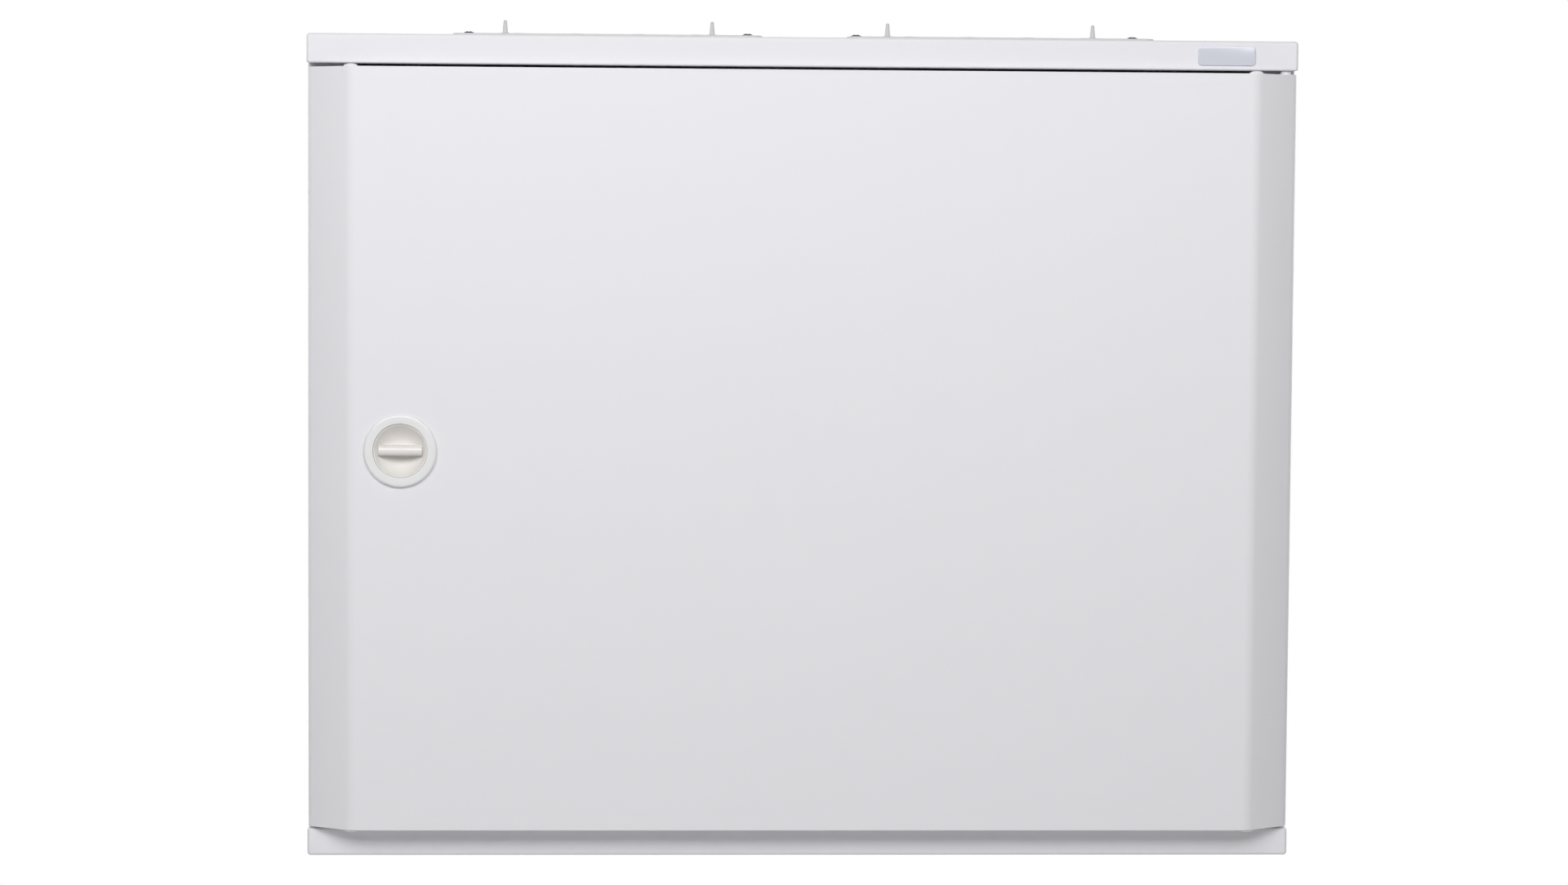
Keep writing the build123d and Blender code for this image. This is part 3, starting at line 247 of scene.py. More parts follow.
@dataclass(frozen=True)
class Finish:
    """Surface of one kind of piece: colour, gloss and fine relief.

    The mottle is how far the colour darkens in its patches. The two swings are how far the
    roughness varies between patches and between fine specks.
    """

    name: str
    colour: Colour
    roughness: float
    grain: Grain
    metallic: float = 0.0
    coat: float = 0.0
    coat_roughness: float = 0.12
    specular: float = 0.5
    mottle: float = 0.03
    patch: float = 0.09
    speck: float = 0.0009
    patch_swing: float = 0.10
    speck_swing: float = 0.08

    def relief(self, graph: Graph) -> Signal:
        """Fine relief of this finish.

        Args:
            graph: Graph of the material.

        Returns:
            The bumped normal.
        """
        if self.grain is Grain.PEEL:
            wave = graph.bump(graph.noise(0.11, detail=0.0), depth=0.00035)
            return graph.bump(graph.noise(0.0016, detail=1.0), depth=0.000012, below=wave)
        if self.grain is Grain.SPARK:
            return graph.bump(graph.noise(0.00035, detail=2.0), depth=0.00002)
        if self.grain is Grain.DRAWN:
            return graph.bump(graph.noise(0.0022, stretch=(0.04, 1.0, 1.0), detail=3.0), depth=0.00001)
        return graph.bump(graph.noise(0.012, detail=0.0), depth=0.00004)

    def make(self) -> bpy.types.Material:
        """Material of this finish.

        Returns:
            The new material.
        """
        graph = Graph(self.name)
        patches = graph.noise(self.patch, detail=3.0)
        shade = tuple(c * (1 - self.mottle) for c in self.colour)
        specks = graph.noise(self.speck, detail=1.0)
        rough = (patches - 0.5) * self.patch_swing + (specks - 0.5) * self.speck_swing + self.roughness
        inputs = {
            "Base Color": graph.mix(patches, shade, self.colour),
            "Roughness": rough,
            "Metallic": self.metallic,
            "Coat Weight": self.coat,
            "Coat Roughness": self.coat_roughness,
            "Specular IOR Level": self.specular,
            "Normal": self.relief(graph),
        }
        surface = graph.node("ShaderNodeBsdfPrincipled", {}, inputs)
        graph.tree.links.new(surface.socket, graph.output.inputs["Surface"])
        return graph.material


class Palette:
    """Every finish of the object, made once each and found by the record's slot."""

    FINISHES = {
        "powder_coat": Finish("white_powder_coat", (0.83, 0.825, 0.857), 0.55, Grain.PEEL,
                              specular=0.22, mottle=0.012),
        "badge_plate": Finish("bare_badge", (0.62, 0.64, 0.71), 0.22, Grain.SMOOTH, coat=0.6, patch=0.02),
        "membrane": Finish("soft_grey_membrane", (0.60, 0.61, 0.62), 0.62, Grain.SPARK, mottle=0.05),
        "dark_steel": Finish("dark_screw_steel", (0.035, 0.035, 0.04), 0.4, Grain.DRAWN,
                             metallic=0.7, patch=0.004),
        "soft_stop": Finish("soft_stop_rubber", (0.30, 0.30, 0.31), 0.7, Grain.SPARK),
        "zinc_steel": Finish("bright_zinc_steel", (0.56, 0.57, 0.59), 0.33, Grain.DRAWN,
                             metallic=1.0, mottle=0.12, patch=0.02),
        "white_moulding": Finish("white_satin_moulding", (0.78, 0.78, 0.78), 0.45, Grain.SPARK),
        "white_gloss": Finish("white_gloss_moulding", (0.82, 0.82, 0.825), 0.24, Grain.SMOOTH, coat=0.25,
                              mottle=0.015),
        "knob_gloss": Finish("warm_white_knob", (0.82, 0.795, 0.77), 0.24, Grain.SMOOTH, coat=0.25,
                             mottle=0.015),
        "device_grey": Finish("device_moulding", (0.72, 0.72, 0.71), 0.5, Grain.SPARK, mottle=0.02),
        "brass_bar": Finish("drawn_brass", (0.72, 0.50, 0.20), 0.3, Grain.DRAWN,
                            metallic=1.0, mottle=0.15, patch=0.02),
        "insulator": Finish("grey_insulator", (0.10, 0.105, 0.115), 0.5, Grain.SPARK, mottle=0.1),
        "copper": Finish("punched_copper", (0.80, 0.38, 0.24), 0.3, Grain.DRAWN,
                         metallic=1.0, mottle=0.15, patch=0.02),
        "lever_dark": Finish("dark_lever_moulding", (0.018, 0.018, 0.02), 0.4, Grain.SPARK, mottle=0.2),
        "button_yellow": Finish("yellow_button", (0.75, 0.48, 0.03), 0.35, Grain.SMOOTH),
        "mark_white": Finish("white_print", (0.8, 0.8, 0.8), 0.5, Grain.SMOOTH),
        "paper": Finish("label_paper", (0.80, 0.80, 0.78), 0.75, Grain.SPARK, mottle=0.05),
    }

    def __init__(self) -> None:
        """Start with nothing made."""
        self._made: dict[str, bpy.types.Material] = {}

    def get(self, slot: str) -> bpy.types.Material:
        """Material of a slot or of an extra finish.

        Args:
            slot: Key of the finish.

        Returns:
            The material, made on its first use.
        """
        if slot not in self._made:
            self._made[slot] = self.FINISHES[slot].make()
        return self._made[slot]


PALETTE = Palette()
SLOTS = {row["node"]: row["material_slot"] for row in frame["record"]["subparts"]}
BODIES = {node: body for body, nodes in frame["record"]["behaviour"]["bodies"].items() for node in nodes}


class Shape:
    """A mesh in the making, in metres and in the object's frame."""

    PATCH_SHARE = 1.25  # half width of the square patch round a hole, for the hole's radius
    INSET_SHARE = 0.02  # inset of that patch before its corners go to the hole, for its half width

    def __init__(self) -> None:
        """Start with an empty mesh."""
        self.bm = bmesh.new()

    def block(self, low: Iterable[float], high: Iterable[float]) -> Verts:
        """Box between two corners.

        Args:
            low: Lowest corner.
            high: Highest corner.

        Returns:
            Its vertices.
        """
        low, high = Vector(low), Vector(high)
        matrix = Matrix.Translation((low + high) / 2) @ Matrix.Diagonal((*(high - low), 1.0))
        return bmesh.ops.create_cube(self.bm, size=1.0, matrix=matrix)["verts"]

    def prism(self, outline: Outline, bottom: float, top: float) -> Verts:
        """Outline drawn upwards into a closed solid.

        Args:
            outline: Corners of the outline, seen from above.
            bottom: Height at which it starts.
            top: Height at which it ends.

        Returns:
            Its vertices.
        """
        ring = [self.bm.verts.new((x, y, bottom)) for x, y in outline]
        face = self.bm.faces.new(ring)
        made = bmesh.ops.extrude_face_region(self.bm, geom=[face], use_keep_orig=True)["geom"]
        far = [g for g in made if isinstance(g, bmesh.types.BMVert)]
        bmesh.ops.translate(self.bm, verts=far, vec=(0.0, 0.0, top - bottom))
        verts = ring + far
        bmesh.ops.recalc_face_normals(self.bm, faces=list({f for v in verts for f in v.link_faces}))
        return verts

    def turned(self, outline: Outline, centre: Iterable[float], along: Along, steps: int) -> Verts:
        """Outline of (radius, distance) turned about an axis into a closed solid.

        Args:
            outline: Points from the axis round to the axis, or a closed ring away from it.
            centre: Point on the axis where the distance is 0.
            along: Direction of the axis.
            steps: Segments round the axis.

        Returns:
            Its vertices.
        """
        centre = Vector(centre)
        ring = [self.bm.verts.new(centre + along.spoke(r, w)) for r, w in outline]
        closed = outline[0][0] > 0 and outline[-1][0] > 0
        pairs = list(zip(ring, ring[1:])) + ([(ring[-1], ring[0])] if closed else [])
        edges = [self.bm.edges.new(pair) for pair in pairs]
        before = set(self.bm.verts) - set(ring)
        bmesh.ops.spin(self.bm, geom=ring + edges, cent=centre, axis=along.axis(), angle=math.tau,
                       steps=steps, use_merge=True)
        verts = [v for v in self.bm.verts if v not in before]
        bmesh.ops.remove_doubles(self.bm, verts=verts, dist=1e-7)
        verts = [v for v in self.bm.verts if v not in before]
        bmesh.ops.recalc_face_normals(self.bm, faces=list({f for v in verts for f in v.link_faces}))
        return verts

    def round_over(self, test: Callable[[bmesh.types.BMEdge], bool], radius: float, steps: int,
                   verts: Iterable[bmesh.types.BMVert] | None = None) -> None:
        """Round the edges that pass a test.

        Args:
            test: Says which edges are rounded.
            radius: Radius of the rounding.
            steps: Segments of the rounding.
            verts: Vertices whose edges are tested, or all.
        """
        edges = set(self.bm.edges) if verts is None else {e for v in verts for e in v.link_edges}
        chosen = [e for e in edges if test(e)]
        bmesh.ops.bevel(self.bm, geom=chosen, offset=radius, offset_type="OFFSET", segments=steps,
                        profile=0.5, affect="EDGES", clamp_overlap=True, material=-1)

    def pierce(self, centre: Vector, radius: float, steps: int = 64) -> None:
        """Round hole through the face of a sheet that lies square to Y.

        Args:
            centre: Centre of the hole on the face.
            radius: Radius of the hole.
            steps: Corners of the hole.
        """
        half = radius * self.PATCH_SHARE
        for axis in (Vector((1, 0, 0)), Vector((0, 0, 1))):
            for side in (-half, half):
                geometry = list(self.bm.verts) + list(self.bm.edges) + list(self.bm.faces)
                bmesh.ops.bisect_plane(self.bm, geom=geometry, plane_co=centre + axis * side,
                                       plane_no=axis, dist=1e-7)
        edges = list(self._face_at(centre).edges)
        bmesh.ops.subdivide_edges(self.bm, edges=edges, cuts=steps // 4 - 1)
        patch = self._face_at(centre)
        bmesh.ops.inset_region(self.bm, faces=[patch], thickness=half * self.INSET_SHARE)
        for vert in patch.verts:
            spoke = vert.co - centre
            vert.co = centre + spoke.normalized() * radius
        bmesh.ops.delete(self.bm, geom=[patch], context="FACES")

    def _face_at(self, centre: Vector) -> bmesh.types.BMFace:
        """Face square to Y whose middle is nearest to a point.

        Args:
            centre: The point.

        Returns:
            The face.
        """
        square = (f for f in self.bm.faces if abs(f.normal.y) > 0.99)
        return min(square, key=lambda f: (f.calc_center_median() - centre).length)

    def object(self, name: str, body: str, slot: str, smooth: float = 35.0) -> bpy.types.Object:
        """Finished piece, riding on its body.

        Args:
            name: Name of the piece.
            body: CAD body it rides on.
            slot: Finish of the piece.
            smooth: Angle in degrees over which an edge stays sharp.

        Returns:
            The new object.
        """
        mesh = bpy.data.meshes.new(name)
        self.bm.to_mesh(mesh)
        self.bm.free()
        piece = bpy.data.objects.new(name, mesh)
        bpy.context.scene.collection.objects.link(piece)
        return dress(piece, body, slot, smooth)


def dress(piece: bpy.types.Object, body: str, slot: str, smooth: float = 35.0) -> bpy.types.Object:
    """Give a piece its material, shading and body.

    Args:
        piece: Piece in the object's frame.
        body: CAD body it rides on.
        slot: Finish of the piece.
        smooth: Angle in degrees over which an edge stays sharp.

    Returns:
        The same piece.
    """
    piece.data.materials.clear()
    piece.data.materials.append(PALETTE.get(slot))
    piece.data.shade_smooth()
    piece.data.set_sharp_from_angle(angle=math.radians(smooth))
    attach(piece, body)
    LOG.info("%s rides on %s", piece.name, body)
    return piece


def edge_softener(piece: bpy.types.Object, radius: float, steps: int = 2, limit: float = 40.0) -> None:
    """Live rounding of a piece's sharp edges.

    Args:
        piece: Piece to soften.
        radius: Radius of the rounding.
        steps: Segments of the rounding.
        limit: Angle in degrees over which an edge is rounded.
    """
    soften = piece.modifiers.new("soft_edges", "BEVEL")
    soften.width = radius
    soften.segments = steps
    soften.limit_method = "ANGLE"
    soften.angle_limit = math.radians(limit)
    soften.harden_normals = True
    soften.use_clamp_overlap = True


def polished(node: str, radius: float = 0.0) -> bpy.types.Object:
    """Merged copy of a CAD node with clean flats, smooth rounds and soft edges.

    Args:
        node: CAD node that the copy stands for.
        radius: Radius of the soft edges, or 0 for none.

    Returns:
        The copy.
    """
    shape = Shape()
    shape.bm.from_mesh(frame["nodes"][node].data)
    bmesh.ops.remove_doubles(shape.bm, verts=list(shape.bm.verts), dist=2e-6)
    bmesh.ops.dissolve_limit(shape.bm, angle_limit=0.004, verts=list(shape.bm.verts),
                             edges=list(shape.bm.edges))
    piece = shape.object(f"{node}_finished", BODIES[node], SLOTS[node])
    if radius:
        edge_softener(piece, radius)
    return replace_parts(piece, node)


def arc(centre: tuple[float, float], radius: float, start: float, end: float, steps: int) -> Outline:
    """Points on an arc, in degrees from the first axis towards the second.

    Args:
        centre: Centre of the arc.
        radius: Radius.
        start: First angle.
        end: Last angle.
        steps: Segments.

    Returns:
        The points, both ends included.
    """
    angles = [math.radians(start + (end - start) * i / steps) for i in range(steps + 1)]
    return [(centre[0] + radius * math.cos(a), centre[1] + radius * math.sin(a)) for a in angles]


@dataclass
class Door:
    """Folded door: flat centre, a bevel at each side, rounded edges and welded corners."""

    sheet: float = 1.2 * MM
    bevel_run: float = 26.0 * MM
    proud: float = 16.1 * MM
    edge_radius: float = 4.0 * MM
    fold_radius: float = 3.2 * MM
    corner_lump: Point = (4.2 * MM, 2.6 * MM, 1.7 * MM)
    weld_depth: float = 4.6 * MM
    back_margin: float = 5.0 * MM
    rim_margin: float = 1.0 * MM
    ring_overhang: float = 2.4 * MM
    latch_clearance: float = 0.1 * MM
    low: Vector = field(default_factory=lambda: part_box("door")[0])
    high: Vector = field(default_factory=lambda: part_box("door")[1])

    def build(self) -> None:
        """Model the door and let it stand for its CAD node."""
        shape = Shape()
        self._tray(shape)
        low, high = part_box("latch_nut")
        latch = Vector(((low.x + high.x) / 2, self.low.y, (low.z + high.z) / 2))
        left, right = (corner.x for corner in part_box("latch_bezel"))
        sleeve = (right - left) / 2 - self.ring_overhang
        shape.pierce(latch, sleeve + self.latch_clearance)
        bmesh.ops.recalc_face_normals(shape.bm, faces=list(shape.bm.faces))
        bmesh.ops.solidify(shape.bm, geom=list(shape.bm.faces), thickness=self.sheet)
        self._corner_welds(shape)
        piece = shape.object("door_shell", "door", "powder_coat", smooth=40.0)
        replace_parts(piece, "door")

    def _tray(self, shape: Shape) -> None:
        """Outer skin of the door, open at the back.

        Args:
            shape: Mesh to add it to.
        """
        left, right, back, front = self.low.x, self.high.x, self.high.y, self.low.y
        rail = front + self.proud
        outline = [(left, back), (left, rail), (left + self.bevel_run, front),
                   (right - self.bevel_run, front), (right, rail), (right, back)]
        shape.prism(outline, self.low.z, self.high.z)
        behind = [f for f in shape.bm.faces if all(abs(v.co.y - back) < TINY for v in f.verts)]
        bmesh.ops.delete(shape.bm, geom=behind, context="FACES_ONLY")
        shape.round_over(self._is_fold, self.fold_radius, steps=6)
        shape.round_over(self._is_rim, self.edge_radius, steps=7)

    def _is_fold(self, edge: bmesh.types.BMEdge) -> bool:
        """Say whether an edge is an upright fold at an end of a bevel.

        Args:
            edge: Edge of the skin.

        Returns:
            True for such a fold.
        """
        a, b = (v.co for v in edge.verts)
        upright = abs(a.x - b.x) < TINY and abs(a.y - b.y) < TINY
        return upright and a.y < self.high.y - self.back_margin

    def _is_rim(self, edge: bmesh.types.BMEdge) -> bool:
        """Say whether an edge is a forward edge of an end plate.

        Args:
            edge: Edge of the skin.

        Returns:
            True for such an edge.
        """
        a, b = (v.co for v in edge.verts)
        level = abs(a.z - b.z) < TINY and min(abs(a.z - self.low.z), abs(a.z - self.high.z)) < TINY
        forward = (a.y + b.y) / 2 < self.low.y + self.proud - self.rim_margin
        return level and len(edge.link_faces) == 2 and forward

    def _corner_welds(self, shape: Shape) -> None:
        """Ground-down welds where the end plates meet the folds.

        Args:
            shape: Mesh to add them to.
        """
        for x in (self.low.x + self.bevel_run, self.high.x - self.bevel_run):
            for z in (self.low.z, self.high.z):
                centre = Vector((x, self.low.y + self.weld_depth, z))
                matrix = Matrix.Translation(centre) @ Matrix.Diagonal((*self.corner_lump, 1.0))
                bmesh.ops.create_icosphere(shape.bm, subdivisions=3, radius=1.0, matrix=matrix)


@dataclass
class Latch:
    """Round latch: fixed ring with its sleeve, and a dished knob with a grip bar."""

    centre: Vector = field(default_factory=lambda: (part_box("latch_bezel")[0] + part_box("latch_bezel")[1]) / 2)
    front: float = field(default_factory=lambda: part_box("latch_bezel")[0].y)
    back: float = field(default_factory=lambda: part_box("latch_bezel")[1].y)
    ring_radius: float = 21.2 * MM
    ring_proud: float = 2.5 * MM
    ring_crown: float = 1.7 * MM
    ring_lip: float = 0.35 * MM
    bore: float = 15.7 * MM
    sleeve_radius: float = 18.8 * MM
    sleeve_floor: float = 2.0 * MM
    spindle_radius: float = 6.0 * MM
    gap: float = 0.3 * MM
    knob_set_back: float = 1.0 * MM
    knob_rim: float = 0.7 * MM
    knob_edge: float = 0.25 * MM
    dish_depth: float = 9.0 * MM
    grip_length: float = 25.0 * MM
    grip_width: float = 5.3 * MM
    grip_set_back: float = 0.5 * MM
    grip_draft: float = 4.0
    grip_sunk: float = 0.8 * MM
    grip_foot: float = 1.0 * MM
    grip_edge: float = 2.5 * MM
    grip_end_edge: float = 0.45 * MM
    play: float = 0.1 * MM

    def build(self) -> None:
        """Model the ring, the knob and what shows behind them."""
        ring = self._ring().object("latch_ring", "door", "white_gloss", smooth=50.0)
        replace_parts(ring, "latch_bezel")
        knob = self._knob().object("latch_grip", "latch", "knob_gloss", smooth=50.0)
        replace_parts(knob, "latch_knob")
        polished("latch_nut", 0.3 * MM)
        polished("latch_cam", 0.25 * MM)
        polished("latch_cam_screw", 0.3 * MM)

    def _axis(self) -> Vector:
        """Point on the latch's axis at the wall plane."""
        return Vector((self.centre.x, 0.0, self.centre.z))

    def _ring(self) -> Shape:
        """Ring with a crowned face, and its sleeve through the door.

        Returns:
            The mesh.
        """
        door = self.front + self.ring_proud
        floor = self.back - self.sleeve_floor
        hole = self.spindle_radius + self.gap
        lip, crown = self.ring_lip, self.ring_crown
        outline = [(self.bore, floor)]
        outline += arc((self.bore + lip, self.front + lip), lip, 180, 270, 4)
        outline += arc((self.ring_radius - crown, self.front + crown), crown, 270, 360, 8)
        outline += [(self.ring_radius, door), (self.sleeve_radius, door), (self.sleeve_radius, self.back),
                    (hole, self.back), (hole, floor)]
        shape = Shape()
        shape.turned(outline, self._axis(), Along.Y, 96)
        return shape

    def _knob(self) -> Shape:
        """Dished knob with a raised grip bar across it, and its spindle.

        Returns:
            The mesh.
        """
        front, outside = self.front + self.knob_set_back, self.bore - self.play
        rim, edge = outside - self.knob_rim, self.knob_edge
        floor = self.back - self.sleeve_floor - self.gap
        ball = (rim ** 2 + self.dish_depth ** 2) / (2 * self.dish_depth)
        reach = math.degrees(math.asin(rim / ball))
        dish = arc((0.0, front + self.dish_depth - ball), ball, 90, 90 - reach, 14)
        outline = [(0.0, front + self.dish_depth)] + dish[1:]
        outline += arc((outside - edge, front + edge), edge, 270, 360, 3)
        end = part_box("latch_cam")[0].y
        outline += [(outside, floor), (self.spindle_radius, floor), (self.spindle_radius, end), (0.0, end)]
        shape = Shape()
        shape.turned(outline, self._axis(), Along.Y, 96)
        self._grip(shape, front + self.dish_depth)
        return shape

    def _grip(self, shape: Shape, bottom: float) -> None:
        """Drafted bar with a round front and soft ends, standing on the dish.

        Args:
            shape: Mesh to add it to.
            bottom: Depth of the middle of the dish.
        """
        half, width = self.grip_length / 2, self.grip_width / 2
        face, root = self.front + self.grip_set_back, bottom + self.grip_sunk
        spread = (root - face) * math.tan(math.radians(self.grip_draft))
        bar = shape.block((self.centre.x - half, face, self.centre.z - width),
                          (self.centre.x + half, root, self.centre.z + width))
        for vert in (v for v in bar if v.co.y > face + TINY):
            vert.co.x += math.copysign(spread, vert.co.x - self.centre.x)
            vert.co.z += math.copysign(spread, vert.co.z - self.centre.z)
        shape.round_over(lambda e: all(abs(v.co.y - face) < TINY for v in e.verts)
                         and abs(e.verts[0].co.x - e.verts[1].co.x) > half, self.grip_edge, 9, bar)
        ends = [v for v in shape.bm.verts if self._at_grip_end(v.co, spread, face, root)]
        shape.round_over(lambda e: all(v in ends for v in e.verts), self.grip_end_edge, 2, ends)

    def _at_grip_end(self, spot: Vector, spread: float, face: float, root: float) -> bool:
        """Say whether a place is on the front part of an end of the grip bar.

        Args:
            spot: The place.
            spread: How far the bar's ends spread from its face to its root.
            face: Depth of the bar's face.
            root: Depth of the bar's root.

        Returns:
            True for such a place.
        """
        out = abs(spot.x - self.centre.x) - self.grip_length / 2
        beside = abs(spot.z - self.centre.z) < 2 * self.grip_width
        return beside and -TINY <= out < spread - TINY and face - TINY < spot.y < root - self.grip_foot


@dataclass
class CableEntry:
    """Soft plate on the top with domes for cables, two of them with a pointed nipple.

    DOME holds shares of a dome's radius and height. NIPPLE_FOOT holds radius and height, and
    NIPPLE_TIP radius and distance from the top, in millimetres.
    """

    DOME = ((1.0, 0.12), (0.96, 0.30), (0.84, 0.42), (0.80, 0.55), (0.74, 0.72), (0.62, 0.80),
            (0.56, 0.92), (0.40, 1.0), (0.0, 1.0))
    NIPPLE_FOOT = ((0.0, -0.2), (2.6, -0.2), (1.75, 0.5), (1.6, 1.2))
    NIPPLE_TIP = ((1.0, 0.5), (0.7, 0.1), (0.0, 0.0))

    side: str
    rim_radius: float = 6.0 * MM
    rim_edge: float = 0.45 * MM
    thickness: float = 1.0 * MM
    rear_row: float = 25.5 * MM
    front_row: float = -19.0 * MM
    rear_domes: tuple[tuple[float, float], ...] = ((62.0, 12.0), (38.0, 6.5), (16.0, 6.0))
    front_domes: tuple[tuple[float, float], ...] = ((52.0, 9.5), (18.0, 9.5))
    rear_height: float = 3.5 * MM
    front_height: float = 1.2 * MM
    dome_root: float = 0.3 * MM
    skirt_wall: float = 0.8 * MM
    skirt_half: tuple[float, float] = (75.7 * MM, 38.7 * MM)

    def build(self) -> None:
        """Model the plate and let it stand for its CAD node."""
        node = f"membrane_plate_{self.side}"
        low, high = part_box(node)
        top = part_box("back_box")[1].z
        centre = Vector(((low.x + high.x) / 2, (low.y + high.y) / 2, top))
        shape = Shape()
        self._rim(shape, centre, (high.x - low.x) / 2, (high.y - low.y) / 2)
        self._skirt(shape, centre, low.z)
        rows = ((self.rear_domes, self.rear_row, self.rear_height),
                (self.front_domes, self.front_row, self.front_height))
        for sign in (-1, 1):
            for domes, row, height in rows:
                for offset, radius in domes:
                    spot = centre + Vector((sign * offset * MM, row, self.thickness))
                    self._dome(shape, spot, radius * MM, height)
            tip = centre + Vector((sign * self.rear_domes[0][0] * MM, self.rear_row,
                                   self.thickness + self.rear_height))
            self._nipple(shape, tip, high.z)
        piece = shape.object(f"cable_entry_{self.side}", BODIES[node], "membrane", smooth=30.0)
        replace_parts(piece, node)

    def _rim(self, shape: Shape, centre: Vector, half_x: float, half_y: float) -> None:
        """Flat rim with round corners and a soft top edge.

        Args:
            shape: Mesh to add it to.
            centre: Middle of the plate on the top of the box.
            half_x: Half its length.
            half_y: Half its depth.
        """
        outline: Outline = []
        for sx, sy, turn in ((1, 1, 0), (-1, 1, 90), (-1, -1, 180), (1, -1, 270)):
            spot = (centre.x + sx * (half_x - self.rim_radius), centre.y + sy * (half_y - self.rim_radius))
            outline += arc(spot, self.rim_radius, turn, turn + 90, 6)
        top = centre.z + self.thickness
        verts = shape.prism(outline, centre.z, top)
        shape.round_over(lambda e: all(abs(v.co.z - top) < TINY for v in e.verts), self.rim_edge, 3,
                         verts)

    def _skirt(self, shape: Shape, centre: Vector, bottom: float) -> None:
        """Wall that fits in the cut-out of the box.

        Args:
            shape: Mesh to add it to.
            centre: Middle of the plate on the top of the box.
            bottom: Height of the wall's lower edge.
        """
        (x, y), wall = self.skirt_half, self.skirt_wall
        for sign in (-1, 1):
            ends = sorted((centre.x + sign * x, centre.x + sign * (x - wall)))
            shape.block((ends[0], centre.y - y, bottom), (ends[1], centre.y + y, centre.z))
            sides = sorted((centre.y + sign * y, centre.y + sign * (y - wall)))
            shape.block((centre.x - x + wall, sides[0], bottom), (centre.x + x - wall, sides[1], centre.z))

    def _dome(self, shape: Shape, spot: Vector, radius: float, height: float) -> None:
        """Stepped dome: two soft steps and a crowned middle.

        Args:
            shape: Mesh to add it to.
            spot: Middle of its foot.
            radius: Radius of its foot.
            height: Its height.
        """
        outline = [(0.0, -self.dome_root), (radius, -self.dome_root)]
        outline += [(radius * across, height * up) for across, up in self.DOME]
        shape.turned(outline, spot, Along.Z, 40)

    def _nipple(self, shape: Shape, spot: Vector, top: float) -> None:
        """Tall pointed tip to be cut off for a thin cable.

        Args:
            shape: Mesh to add it to.
            spot: Middle of its foot.
            top: Height of its point.
        """
        height = top - spot.z
        outline = [(radius * MM, up * MM) for radius, up in self.NIPPLE_FOOT]
        outline += [(radius * MM, height - drop * MM) for radius, drop in self.NIPPLE_TIP]
        shape.turned(outline, spot, Along.Z, 20)


@dataclass
class Enclosure:
    """Box, badge, hinge, carriers, cover and terminal bars, and the small fittings of the door."""

    SOFT_NODES = (
        "cover_plate", "blanking_strip_upper", "blanking_strip_lower", "carrier_rail_left",
        "carrier_rail_right", "din_rail_upper", "din_rail_lower", "carrier_screws", "hinge_pin_top",
        "hinge_pin_bottom", "hinge_bushes", "box_earth_stud", "door_earth_stud", "door_buffers",
        "membrane_plate_screws", "neutral_bar_screws", "earth_bar_screws", "neutral_bar", "earth_bar",
        "terminal_holders", "phase_comb", "comb_insulation",
    )

    soft: float = 0.18 * MM
    fastener_soft: float = 0.3 * MM
    box_sharp: float = 38.0
    badge_corner: float = 2.5 * MM
    badge_edge: float = 0.45 * MM

    def build(self) -> None:
        """Finish every fixed piece."""
        box = polished("back_box")
        box.data.set_sharp_from_angle(angle=math.radians(self.box_sharp))
        for node in self.SOFT_NODES:
            polished(node, self.soft)
        polished("cover_fasteners", self.fastener_soft)
        self._badge()

    def _badge(self) -> None:
        """Bare badge: a plate with round corners and a soft front edge."""
        low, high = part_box("badge")
        shape = Shape()
        verts = shape.block(low, high)
        shape.round_over(lambda e: abs(e.verts[0].co.y - e.verts[1].co.y) > TINY, self.badge_corner, 7,
                         verts)
        shape.round_over(lambda e: all(abs(v.co.y - low.y) < TINY for v in e.verts), self.badge_edge, 4)
        badge = shape.object("badge_plate", BODIES["badge"], "badge_plate", smooth=50.0)
        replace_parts(badge, "badge")


